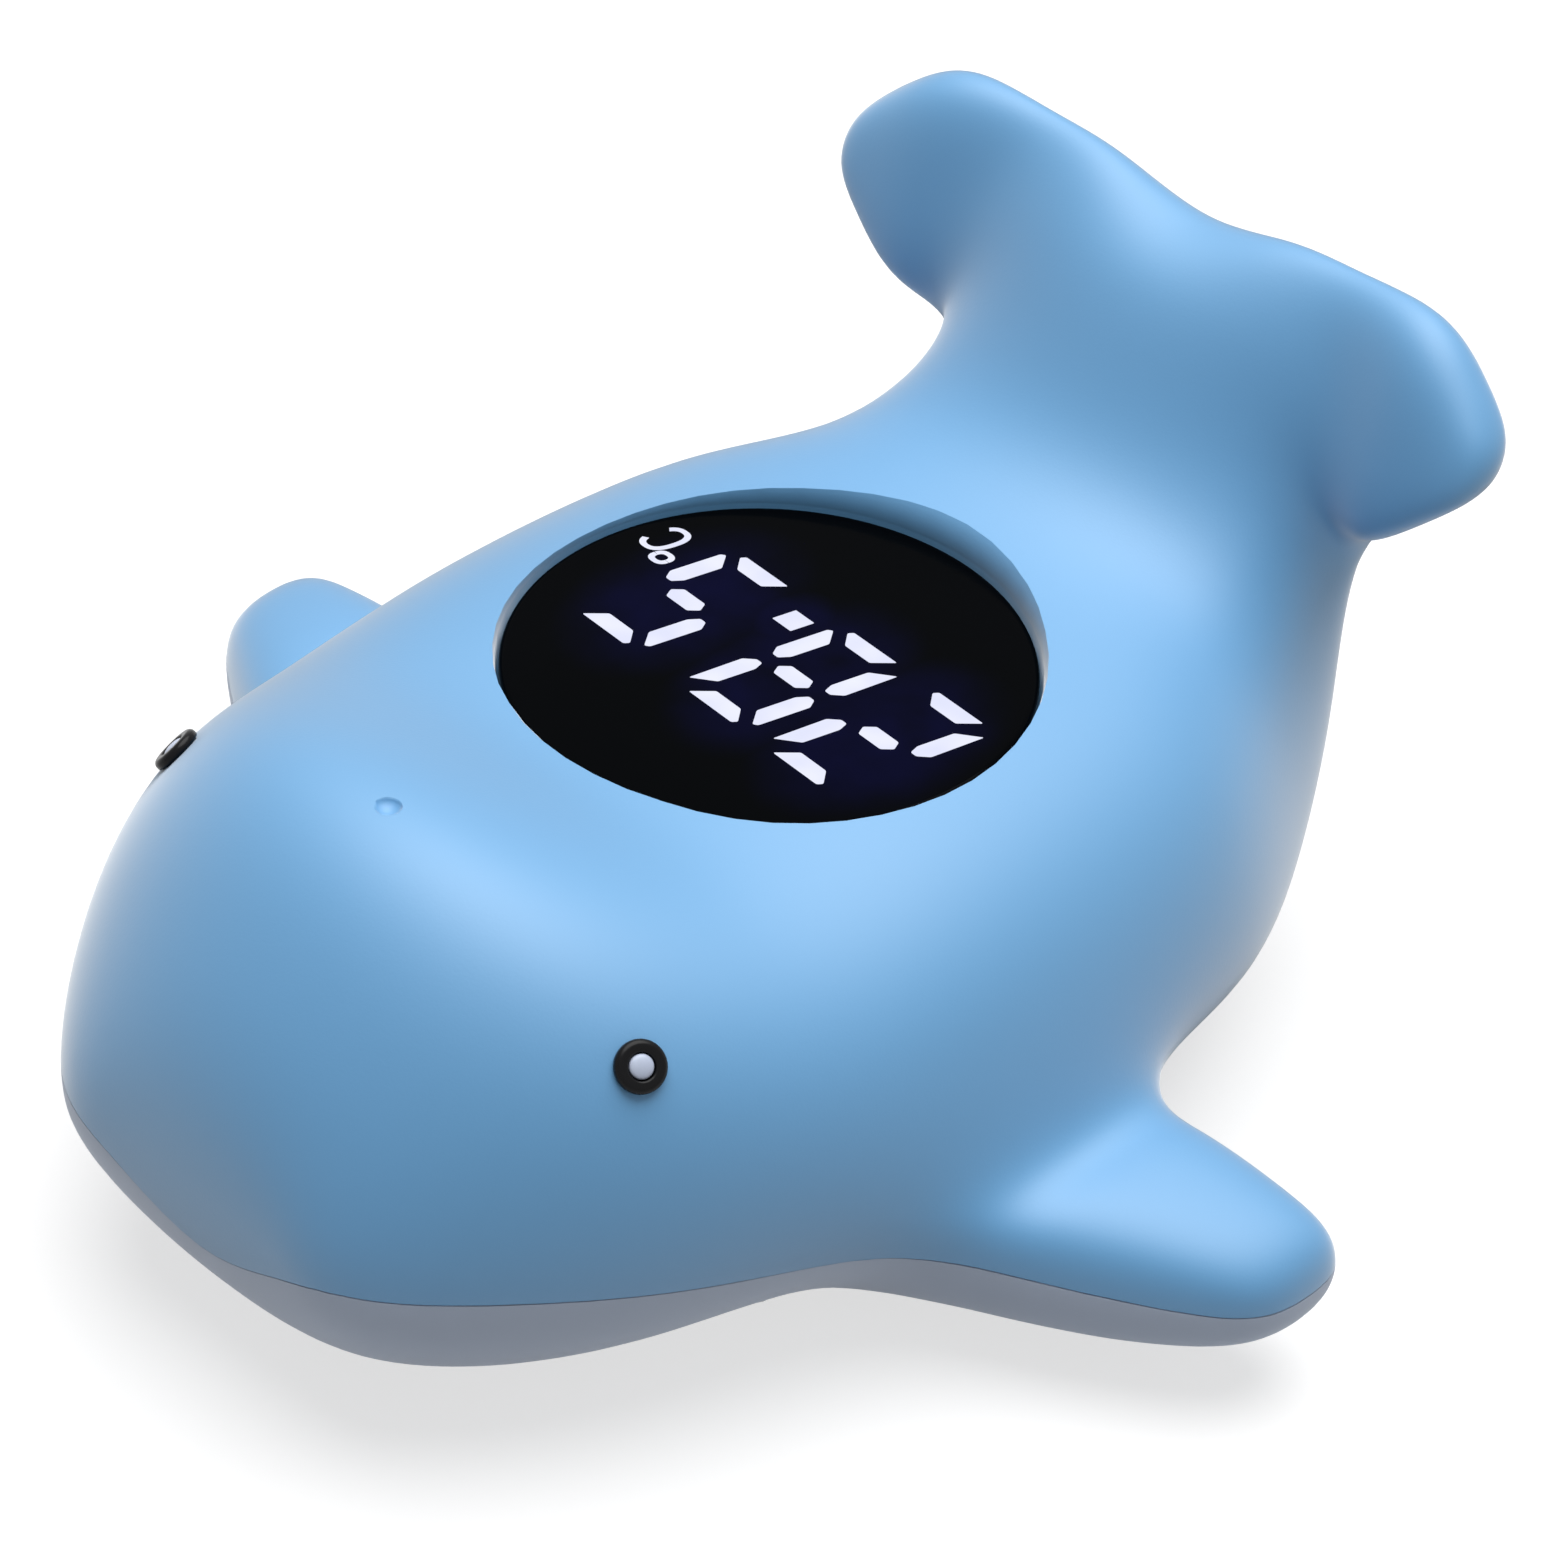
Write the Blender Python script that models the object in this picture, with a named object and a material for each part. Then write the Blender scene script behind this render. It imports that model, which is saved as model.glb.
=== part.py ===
# Baby bath thermometer in the form of a little whale.
# It rests on its belly or floats. Its head is towards -Y, its tail towards +Y, its left side at +X.
# All values are in millimetres and degrees. The helpers turn them into metres.
import math

import bmesh
import bpy
from mathutils import Matrix, Vector
from mathutils.bvhtree import BVHTree

MM = 0.001
FAR = 100.0
FIT = 0.3
SCREW_FIT = 0.25

# Main sizes: half the span over the fins, widest half of the body, snout, and the top of the tail
FIN_REACH = 53.0
BODY_HALF = 34.0
SNOUT_Y = -55.0
TAIL_TOP = 54.4

# Hull sections from snout to tail: top y, top z, bottom y, bottom z, half width, widest z
HULL_SECTIONS = (
    (SNOUT_Y, 22.5, SNOUT_Y + 1.5, 7.0, BODY_HALF - 20.0, 14.0),
    (SNOUT_Y + 7.2, 32.6, SNOUT_Y + 9.5, 1.6, BODY_HALF - 11.6, 14.5),
    (-37.0, 42.4, -34.0, -0.4, BODY_HALF - 4.4, 15.5),
    (-21.0, 32.8, -20.5, -0.6, BODY_HALF - 1.0, 16.0),
    (-8.0, 34.4, -8.0, -0.6, BODY_HALF, 16.0),
    (5.0, 34.6, 5.0, -0.6, BODY_HALF - 0.5, 16.5),
    (17.0, 34.0, 21.0, 0.2, BODY_HALF - 1.2, 17.0),
    (25.0, 36.2, 35.5, 3.5, BODY_HALF - 6.0, 20.0),
    (30.0, 39.6, 44.0, 12.5, BODY_HALF - 11.0, 26.0),
    (33.4, 44.6, 45.6, 26.0, 20.5, 34.0),
    (36.8, TAIL_TOP - 4.4, 46.6, 41.0, 19.5, 46.0),
    (41.0, TAIL_TOP, 46.0, TAIL_TOP, 16.0, TAIL_TOP),
)
HULL_SWELL = 1.055
SECTION_KINDS = ("head", "head", "head", "back fin", "back fin", "back fin", "back", "tail",
                 "tail", "tail fluke", "tail fluke", "tail fluke")
BODY_ANGLES = (90, 62, 32, -3, -50, -90)
TAIL_ANGLES = (90, 62, 32, -32, -62, -90)
HEAD_POWER = 1.9
BACK_POWER = 2.55
BACK_FLAT = 1.7
BELLY_POWER = 2.35
NOTCH_DEPTH = 3.0

# Fins: x, leading y, trailing y, top z, bottom z of each section outwards
FIN_LOOPS = (
    (FIN_REACH - 13.5, -15.0, 5.0, 16.0, 2.6),
    (FIN_REACH - 6.0, -10.0, 4.8, 14.8, 3.4),
    (FIN_REACH, -5.5, 4.4, 13.0, 5.6),
)
# Flukes: x, low z, high z, front y low and high, rear y low and high of each section outwards
FLUKE_LOOPS = (
    (22.5, 36.6, TAIL_TOP + 1.2, 34.5, 39.5, 41.5, 45.5),
    (27.0, 41.0, TAIL_TOP - 2.0, 35.5, 39.5, 41.0, 44.0),
    (30.6, 44.6, TAIL_TOP - 5.6, 37.0, 39.0, 41.0, 42.5),
)
LOOP_BULGE = 0.7

# Housing
SKIN_LEVEL = 2
CORE_LEVEL = 1
WALL = 2.2
PARTING_Z = 9.5
PARTING_RISE = 6.5
PARTING_RISE_FROM_Y = -4.0
PARTING_RISE_TO_Y = -48.0
SNOUT_DIP = 4.6
SNOUT_DIP_HALF = 14.0
SNOUT_DIP_FROM_Y = -40.0
SEAM = 0.3
TONGUE_WALL = 0.9
TONGUE_HEIGHT = 1.6
TONGUE_ROOT = 2.5

# Display
DISPLAY_CENTRE = Vector((0, 0, 33.4))
DISPLAY_TILT = 0.0
WINDOW_RADIUS = 19.0
WINDOW_THICK = 2.0
WINDOW_BEVEL = 0.45
RECESS_ROUND = 3.4
GASKET_WIDTH = 1.2
GASKET_THICK = 0.6
LEDGE_THICK = 1.8
FRAME_WALL = 2.2
MODULE_SIZE = (34.2, 18.6, 7.0)
MODULE_GAP = 0.6
DIGIT_HEIGHT = 12.15
DIGIT_WIDTH = 5.75
DIGIT_STROKE = 1.5
DIGIT_SLANT = 9.2
DIGIT_MIDDLES = (-11.3, -2.3, 9.3)
DIGIT_RISE = -0.1
DISPLAY_TURN = -4.5
POINT_AT = (2.8, -4.5)
POINT_SIZE = 1.3
DEGREE_AT = (14.4, -2.2)
DEGREE_RADIUS = 0.65
SCALE_LETTER_AT = (15.7, -4.3)
SCALE_LETTER_SIZE = (2.0, 3.6)
SCALE_LETTER_STROKE = 0.6
SEGMENT_DEPTH = 0.4
BOARD_SIZE = (42.0, 33.0, 1.6)
BOARD_CORNER = 3.0
CHIP_SIZE = (9.0, 9.0, 1.6)
SOCKET_SIZE = (7.5, 4.5, 5.0)
SOCKET_INSET = 4.5
SOCKET_Y = -6.0

# Eyes and blowhole
EYE_AIM = Vector((22.7, -34.9, 30.6))
EYE_RADIUS = 1.95
EYE_PROUD = 0.45
EYE_STEM_RADIUS = 1.3
EYE_STEM = 1.8
PUPIL_RADIUS = 0.85
BLOWHOLE_Y = -33.9
BLOWHOLE_RADIUS = 1.25
BLOWHOLE_DEPTH = 0.6

# Battery bay, opening downwards through the belly
CELL_RADIUS = 5.25
CELL_LENGTH = 43.3
CELL_NUB_RADIUS = 1.9
CELL_NUB = 1.1
CELL_PITCH = 11.0
SPRING_ROOM = 3.4
PLATE_THICK = 0.4
BAY_FRONT_Y = -29.5
BAY_CLEAR = 0.4
BAY_WALL = 1.6
COVER_THICK = 3.0
COVER_LIP = 2.1
COVER_LUG = 7.0
COVER_CORNER = 3.0
SEAL_WIDTH = 1.2
SEAL_THICK = 0.8
TAB_SIZE = (5.0, 2.0, 1.1)
TAB_X = 4.5
SCREW_RADIUS = 1.1
SCREW_HEAD_RADIUS = 2.1
SCREW_HEAD = 1.3
COVER_SCREW_LENGTH = 7.0

# Case and board screws
CASE_SCREWS = ((23.5, -24.0), (20.0, 26.0))
CASE_SCREW_LENGTH = 12.0
CASE_BOSS_RADIUS = 3.4
CASE_HEAD_Z = 6.6
BOARD_SCREW_LENGTH = 5.0
BOARD_BOSS_RADIUS = 2.4
BOARD_SCREW_INSET = 3.0

# Sensor cap and water contacts, through the belly under the snout
SENSOR_RADIUS = 3.2
SENSOR_FLANGE = 4.2
SENSOR_WALL = 0.4
SENSOR_HEIGHT = 6.0
CONTACT_X = 9.0
CONTACT_BEHIND = 1.5
CONTACT_RADIUS = 1.0
CONTACT_HEAD_RADIUS = 1.9
CONTACT_HEAD = 0.7
CONTACT_PROUD = 0.4
CONTACT_LENGTH = 7.5
LEAD_RADIUS = 0.6

ROUND = 48
SMALL_ROUND = 20


def clear_scene():
    for obj in list(bpy.data.objects):
        bpy.data.objects.remove(obj, do_unlink=True)


def mix(a, b, t):
    return a + (b - a) * t


def colour(hex_code):
    parts = [int(hex_code[i:i + 2], 16) / 255 for i in (1, 3, 5)]
    return [c / 12.92 if c <= 0.04045 else ((c + 0.055) / 1.055) ** 2.4 for c in parts] + [1]


def material(name, hex_code, roughness, metallic=0.0):
    found = bpy.data.materials.get(name)
    if found:
        return found
    made = bpy.data.materials.new(name)
    made.use_nodes = True
    shader = made.node_tree.nodes["Principled BSDF"]
    shader.inputs["Base Color"].default_value = colour(hex_code)
    shader.inputs["Roughness"].default_value = roughness
    shader.inputs["Metallic"].default_value = metallic
    return made


def add_mesh(name, bm, place=None):
    """An object from a bmesh in millimetres, with its faces turned out."""
    bmesh.ops.recalc_face_normals(bm, faces=bm.faces)
    if place:
        bm.transform(place)
    bm.transform(Matrix.Scale(MM, 4))
    mesh = bpy.data.meshes.new(name)
    bm.to_mesh(mesh)
    bm.free()
    obj = bpy.data.objects.new(name, mesh)
    bpy.context.scene.collection.objects.link(obj)
    return obj


def finish(obj, finish_material):
    obj.data.materials.clear()
    obj.data.materials.append(finish_material)
    obj.data.shade_smooth()
    obj.data.set_sharp_from_angle(angle=math.radians(35))
    return obj


def settle(obj):
    """Makes the modifiers of an object permanent."""
    graph = bpy.context.evaluated_depsgraph_get()
    mesh = bpy.data.meshes.new_from_object(obj.evaluated_get(graph))
    obj.modifiers.clear()
    obj.data = mesh
    return obj


def combine(obj, operation, tools):
    for tool in tools:
        step = obj.modifiers.new(operation.lower(), "BOOLEAN")
        step.operation = operation
        step.object = tool
        step.solver = "EXACT"
    settle(obj)
    for tool in tools:
        bpy.data.objects.remove(tool, do_unlink=True)
    return obj


def cut(obj, *tools):
    return combine(obj, "DIFFERENCE", tools)


def join(obj, *tools):
    return combine(obj, "UNION", tools)


def keep(obj, *tools):
    return combine(obj, "INTERSECT", tools)


def box(name, low, high, place=None):
    bm = bmesh.new()
    bmesh.ops.create_cube(bm, size=1)
    size = [b - a for a, b in zip(low, high)]
    centre = [(a + b) / 2 for a, b in zip(low, high)]
    bm.transform(Matrix.Translation(centre) @ Matrix.Diagonal((*size, 1)))
    return add_mesh(name, bm, place)


def rounded_outline(low, high, radius, steps=5):
    """Corner arcs of a rounded rectangle, anticlockwise."""
    points = []
    for quarter, (x, y) in enumerate(((1, 1), (0, 1), (0, 0), (1, 0))):
        cx = high[0] - radius if x else low[0] + radius
        cy = high[1] - radius if y else low[1] + radius
        for i in range(steps):
            angle = math.radians(90 * (quarter + i / (steps - 1)))
            points.append((cx + radius * math.cos(angle), cy + radius * math.sin(angle)))
    return points


def prism(name, outline, low_z, high_z, place=None):
    bm = bmesh.new()
    base = [bm.verts.new((x, y, low_z)) for x, y in outline]
    face = bm.faces.new(base)
    raised = bmesh.ops.extrude_face_region(bm, geom=[face])
    moved = [v for v in raised["geom"] if isinstance(v, bmesh.types.BMVert)]
    bmesh.ops.translate(bm, verts=moved, vec=(0, 0, high_z - low_z))
    return add_mesh(name, bm, place)


def slab(name, low, high, radius, low_z, high_z, place=None):
    return prism(name, rounded_outline(low, high, radius), low_z, high_z, place)


def turned(name, profile, place=None, sides=ROUND):
    """A solid turned round Z from an outline of (radius, z) points; points on the axis close it."""
    bm = bmesh.new()
    rings = []
    flat_ends = (profile[0][0] < 1e-6 and profile[0][1] == profile[1][1],
                 profile[-1][0] < 1e-6 and profile[-1][1] == profile[-2][1])
    for radius, z in profile[flat_ends[0]:len(profile) - flat_ends[1]]:
        if radius < 1e-6:
            rings.append([bm.verts.new((0, 0, z))])
        else:
            rings.append([bm.verts.new((radius * math.cos(2 * math.pi * k / sides),
                                        radius * math.sin(2 * math.pi * k / sides), z))
                          for k in range(sides)])
    for flat, ring in zip(flat_ends, (rings[0], rings[-1])):
        if flat:
            bm.faces.new(ring)
    closed = not any(flat_ends) and all(len(ring) > 1 for ring in rings)
    for i in range(len(rings) if closed else len(rings) - 1):
        a, b = rings[i], rings[(i + 1) % len(rings)]
        for k in range(sides):
            corners = [a[k % len(a)], a[(k + 1) % len(a)], b[(k + 1) % len(b)], b[k % len(b)]]
            corners = list(dict.fromkeys(corners))
            if len(corners) > 2:
                bm.faces.new(corners)
    return add_mesh(name, bm, place)


def rod(name, radius, low_z, high_z, place=None, sides=SMALL_ROUND):
    return turned(name, ((0, low_z), (radius, low_z), (radius, high_z), (0, high_z)), place, sides)


def tube(name, route, radius, sides=6, samples=4):
    """A lead that follows a smooth curve through the points of its route."""
    smooth = []
    ends = [route[0]] + list(route) + [route[-1]]
    for a, b, c, d in zip(ends, ends[1:], ends[2:], ends[3:]):
        for i in range(samples):
            t = i / samples
            smooth.append(0.5 * (2 * b + (c - a) * t + (2 * a - 5 * b + 4 * c - d) * t ** 2
                                 + (3 * b - a - 3 * c + d) * t ** 3))
    smooth.append(route[-1])
    bm = bmesh.new()
    rings = []
    side = None
    for i, point in enumerate(smooth):
        ahead = (smooth[min(i + 1, len(smooth) - 1)] - smooth[max(i - 1, 0)]).normalized()
        if side is None:
            side = ahead.orthogonal()
        side = (side - ahead * side.dot(ahead)).normalized()
        up = ahead.cross(side)
        rings.append([bm.verts.new(point + radius * (side * math.cos(2 * math.pi * k / sides)
                                                     + up * math.sin(2 * math.pi * k / sides)))
                      for k in range(sides)])
    for a, b in zip(rings, rings[1:]):
        for k in range(sides):
            bm.faces.new((a[k], a[(k + 1) % sides], b[(k + 1) % sides], b[k]))
    bm.faces.new(rings[0][::-1])
    bm.faces.new(rings[-1])
    return add_mesh(name, bm)


# Hull

def sections_of(kind):
    return [i for i, kinds in enumerate(SECTION_KINDS) if kind in kinds.split()]


def section_angles(index):
    last_body = sections_of("fin")[-1]
    t = (index - last_body) / (sections_of("tail")[0] - last_body)
    t = min(max(t, 0), 1)
    return [mix(a, b, t) for a, b in zip(BODY_ANGLES, TAIL_ANGLES)]


def hull_ring(index, inset):
    """Half of one section of the hull, from its top to its bottom, moved in by inset."""
    top_y, top_z, low_y, low_z, half_width, wide_z = HULL_SECTIONS[index]
    top = Vector((0, top_y, top_z))
    low = Vector((0, low_y, low_z))
    share = (wide_z - low_z) / (top_z - low_z) if top_z > low_z else 0.5
    wide = low.lerp(top, share)
    on_back = index in sections_of("back")
    upper = BACK_POWER if on_back else HEAD_POWER
    points = []
    for angle in section_angles(index):
        c = abs(math.cos(math.radians(angle)))
        s = abs(math.sin(math.radians(angle)))
        power = upper if angle > 0 else BELLY_POWER
        out = c ** (2 / power) * (half_width * HULL_SWELL - inset) if abs(angle) < 90 else 0
        reach = ((top if angle > 0 else low) - wide) * HULL_SWELL
        reach -= reach.normalized() * inset
        point = wide + reach * s ** (2 / power)
        points.append(Vector((out, point.y, point.z)))
    if on_back:
        points[1].z += BACK_FLAT
    return points


def grow_limb(bm, root, loops):
    """Continues a hole with six corners outwards through the loops, and closes it."""
    previous = root
    for loop in loops:
        current = [bm.verts.new(p) for p in loop]
        for k in range(6):
            n = (k + 1) % 6
            bm.faces.new((previous[k], previous[n], current[n], current[k]))
        previous = current
    bm.faces.new((previous[0], previous[1], previous[4], previous[5]))
    bm.faces.new((previous[1], previous[2], previous[3], previous[4]))


def limb_root(rings, sections, k):
    a, b, c = sections
    return [rings[a][k], rings[b][k], rings[c][k], rings[c][k + 1], rings[b][k + 1], rings[a][k + 1]]


def fin_loop(x, lead, trail, top_z, low_z):
    middle = (lead + trail) / 2
    return ((x, lead, top_z - 2 * LOOP_BULGE), (x + LOOP_BULGE, middle, top_z), (x, trail, top_z - LOOP_BULGE),
            (x, trail, low_z + LOOP_BULGE), (x + LOOP_BULGE, middle, low_z), (x, lead, low_z + 2 * LOOP_BULGE))


def fluke_loop(x, low, high, front_low, front_high, rear_low, rear_high):
    middle = (low + high) / 2
    front = (front_low + front_high) / 2 - LOOP_BULGE
    rear = (rear_low + rear_high) / 2 + LOOP_BULGE
    return ((x, front_low, low), (x + LOOP_BULGE, front, middle), (x, front_high, high),
            (x, rear_high, high), (x + LOOP_BULGE, rear, middle), (x, rear_low, low))


def hull(name, inset=0.0, limbs=True, level=SKIN_LEVEL):
    """The hull as a smooth closed body; without limbs it is the plain body, moved in by inset."""
    bm = bmesh.new()
    last = len(HULL_SECTIONS) if limbs else len(HULL_SECTIONS) - 1
    rings = [[bm.verts.new(p) for p in hull_ring(i, inset)] for i in range(last)]
    for vert in rings[0]:
        vert.co.y += inset
    if limbs:
        for k in (0, -1):
            rings[-1][k].co.z -= NOTCH_DEPTH
    holes = set()
    if limbs:
        fins, flukes = sections_of("fin"), sections_of("fluke")
        holes = {(s, 3) for s in fins[:-1]} | {(s, 2) for s in flukes[:-1]}
    for s, (near, far) in enumerate(zip(rings, rings[1:])):
        for k in range(len(BODY_ANGLES) - 1):
            if (s, k) not in holes:
                bm.faces.new((near[k], near[k + 1], far[k + 1], far[k]))
    for ring in (rings[0], rings[-1]):
        for quad in ((0, 1, 4, 5), (1, 2, 3, 4)):
            bm.faces.new([ring[k] for k in quad])
    if limbs:
        grow_limb(bm, limb_root(rings, fins, 3), [fin_loop(*row) for row in FIN_LOOPS])
        grow_limb(bm, limb_root(rings, flukes, 2), [fluke_loop(*row) for row in FLUKE_LOOPS])
    obj = add_mesh(name, bm)
    mirror = obj.modifiers.new("mirror", "MIRROR")
    mirror.merge_threshold = 0.00001
    smooth = obj.modifiers.new("smooth", "SUBSURF")
    smooth.levels = level
    smooth.render_levels = level
    return settle(obj)


def ease(value, low, high):
    """Goes smoothly from 0 at low to 1 at high."""
    t = min(max((value - low) / (high - low), 0), 1)
    return t * t * (3 - 2 * t)


def parting_z(x, y):
    """Height of the parting line, which rises from the fins to the snout and dips in the snout's middle."""
    rise = PARTING_RISE * ease(y, PARTING_RISE_FROM_Y, PARTING_RISE_TO_Y)
    dip = SNOUT_DIP * ease(y, SNOUT_DIP_FROM_Y, PARTING_RISE_TO_Y) * (1 - ease(abs(x), 0, SNOUT_DIP_HALF))
    return PARTING_Z + rise - dip


def beside_parting(low, high):
    """The space between two surfaces at the parting line plus low and high; None is far away."""
    along = [PARTING_RISE_TO_Y - FAR] + [mix(PARTING_RISE_TO_Y, PARTING_RISE_FROM_Y, i / 16) for i in range(17)]
    along.append(PARTING_RISE_FROM_Y + FAR)
    across = [-FAR] + [SNOUT_DIP_HALF * i / 8 for i in range(-8, 9)] + [FAR]
    bm = bmesh.new()
    rings = []
    for x in across:
        lower = [(x, y, -FAR if low is None else parting_z(x, y) + low) for y in along]
        upper = [(x, y, FAR if high is None else parting_z(x, y) + high) for y in along]
        rings.append([bm.verts.new(p) for p in lower + upper[::-1]])
    count = len(rings[0])
    for near, far in zip(rings, rings[1:]):
        for k in range(count):
            n = (k + 1) % count
            bm.faces.new((near[k], near[n], far[n], far[k]))
    for ring in (rings[0], rings[-1]):
        for k in range(len(along) - 1):
            bm.faces.new((ring[k], ring[k + 1], ring[count - 2 - k], ring[count - 1 - k]))
    return add_mesh("beside", bm)


def core(inset):
    return hull("core", inset, limbs=False, level=CORE_LEVEL)


# Places that the pieces share

TILT = Matrix.Rotation(-math.radians(DISPLAY_TILT), 4, "X")
DISPLAY = Matrix.Translation(DISPLAY_CENTRE) @ TILT
GASKET_TOP = -WINDOW_THICK - FIT
LEDGE_TOP = GASKET_TOP - GASKET_THICK - FIT
LEDGE_RADIUS = WINDOW_RADIUS - GASKET_WIDTH - FIT
FRAME_RADIUS = WINDOW_RADIUS + FIT + FRAME_WALL
MODULE_TOP = -WINDOW_THICK - MODULE_GAP
MODULE_LOW = MODULE_TOP - MODULE_SIZE[2]
BOARD_TOP = MODULE_LOW - FIT
BOARD_LOW = BOARD_TOP - BOARD_SIZE[2]
BOARD_SCREWS = [(sx * (BOARD_SIZE[0] / 2 - BOARD_SCREW_INSET), sy * (BOARD_SIZE[1] / 2 - BOARD_SCREW_INSET))
                for sx in (-1, 1) for sy in (-1, 1)]
CELL_Z = COVER_THICK + BAY_CLEAR + CELL_RADIUS
BAY_LENGTH = CELL_LENGTH + CELL_NUB + SPRING_ROOM + 2 * PLATE_THICK + 2 * FIT
BAY_REAR_Y = BAY_FRONT_Y + BAY_LENGTH
BAY_HALF = CELL_PITCH / 2 + CELL_RADIUS + BAY_CLEAR
BAY_TOP = CELL_Z + CELL_RADIUS + BAY_CLEAR
COVER_HALF = BAY_HALF + COVER_LIP
COVER_FRONT_Y = BAY_FRONT_Y - COVER_LIP
COVER_REAR_Y = BAY_REAR_Y + COVER_LUG
COVER_SCREW_Y = BAY_REAR_Y + COVER_LIP + SCREW_HEAD_RADIUS + FIT
SEAL_TOP = COVER_THICK + FIT + SEAL_THICK
SOCKET_AT = [(side * (BOARD_SIZE[0] / 2 - SOCKET_INSET), SOCKET_Y) for side in (-1, 1)]
SENSOR_Y = COVER_FRONT_Y - TAB_SIZE[1] - BAY_WALL - SENSOR_FLANGE - 2 * FIT
CONTACT_Y = SENSOR_Y + CONTACT_BEHIND


def at(x, y, z=0):
    return Matrix.Translation((x, y, z))


def along_y(x, y, z):
    """A frame whose Z axis points along +Y."""
    return at(x, y, z) @ Matrix.Rotation(math.radians(-90), 4, "X")


def surface_frame(skin, aim):
    """A frame on the hull's surface nearest to aim, its Z axis pointing out."""
    graph = bpy.context.evaluated_depsgraph_get()
    tree = BVHTree.FromObject(skin, graph)
    place, normal, _, _ = tree.find_nearest(aim * MM)
    return at(*(place / MM)) @ normal.to_track_quat("Z", "Y").to_matrix().to_4x4()


def screw(name, head_radius, head, radius, length, place, finish_material):
    """A pan head screw, its head's seat at the origin and its shank along +Z."""
    tip = radius * 0.6
    profile = ((0, -head), (head_radius * 0.8, -head), (head_radius, -head * 0.45), (head_radius, 0),
               (radius, 0), (radius, length - tip), (radius * 0.4, length), (0, length))
    return finish(turned(name, profile, place, SMALL_ROUND), finish_material)


# Shells

def display_frame():
    """The tube that carries the window, down from the roof of the upper shell."""
    low = LEDGE_TOP - LEDGE_THICK
    return rod("display_frame", FRAME_RADIUS, low, WINDOW_RADIUS, DISPLAY, ROUND)


def board_bosses():
    top = WINDOW_RADIUS
    return [rod("boss", BOARD_BOSS_RADIUS, BOARD_TOP + FIT, top, DISPLAY @ at(x, y)) for x, y in BOARD_SCREWS]


def case_places():
    return [(side * x, y) for x, y in CASE_SCREWS for side in (-1, 1)]


def recess():
    """The window's seat and the opening under it; its edge rounds over where the hull stands higher."""
    flare = []
    for i in range(5):
        turn = math.radians(90 * i / 4)
        flare.append((WINDOW_RADIUS + FIT + RECESS_ROUND * (1 - math.cos(turn)),
                      0.1 + RECESS_ROUND * math.sin(turn)))
    rim = WINDOW_RADIUS + FIT + RECESS_ROUND + 1
    profile = [(0, BOARD_LOW), (LEDGE_RADIUS, BOARD_LOW), (LEDGE_RADIUS, LEDGE_TOP),
               (WINDOW_RADIUS + FIT, LEDGE_TOP)] + flare + [(rim, 12), (0, 12)]
    return turned("recess", profile, DISPLAY)


def upper_shell(skin, eyes, blue):
    shell = skin.copy()
    shell.data = skin.data.copy()
    shell.name = "upper_shell"
    bpy.context.scene.collection.objects.link(shell)
    keep(shell, beside_parting(SEAM / 2, None))
    hollow = core(WALL)
    cut(hollow, display_frame(), *board_bosses())
    posts = [rod("post", CASE_BOSS_RADIUS, CASE_HEAD_Z - 1, FAR, at(x, y)) for x, y in case_places()]
    cut(hollow, *posts)
    cut(shell, hollow)
    groove = keep(core(WALL - TONGUE_WALL - FIT), beside_parting(None, TONGUE_HEIGHT + FIT))
    cut(groove, *[rod("post", CASE_BOSS_RADIUS, 0, FAR, at(x, y)) for x, y in case_places()])
    cut(shell, groove)
    cut(shell, recess())
    for x, y in BOARD_SCREWS:
        cut(shell, rod("pilot", SCREW_RADIUS + SCREW_FIT, BOARD_LOW, BOARD_TOP + BOARD_SCREW_LENGTH,
                       DISPLAY @ at(x, y), 12))
    for x, y in case_places():
        cut(shell, rod("pilot", SCREW_RADIUS + SCREW_FIT, 0, CASE_HEAD_Z + CASE_SCREW_LENGTH + 1, at(x, y), 12))
    for eye in eyes:
        cut(shell, rod("socket", EYE_STEM_RADIUS + FIT, -EYE_STEM - 2, 3, eye, 12))
    cut(shell, blowhole(skin))
    return finish(shell, blue)


def blowhole(skin):
    place = surface_frame(skin, Vector((0, BLOWHOLE_Y, 60)))
    centre = BLOWHOLE_RADIUS - BLOWHOLE_DEPTH
    bm = bmesh.new()
    bmesh.ops.create_uvsphere(bm, u_segments=16, v_segments=10, radius=BLOWHOLE_RADIUS)
    return add_mesh("blowhole", bm, place @ at(0, 0, centre))


def cover_outline(grow):
    return ((-COVER_HALF - grow, COVER_FRONT_Y - grow), (COVER_HALF + grow, COVER_REAR_Y + grow),
            COVER_CORNER + grow)


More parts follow.
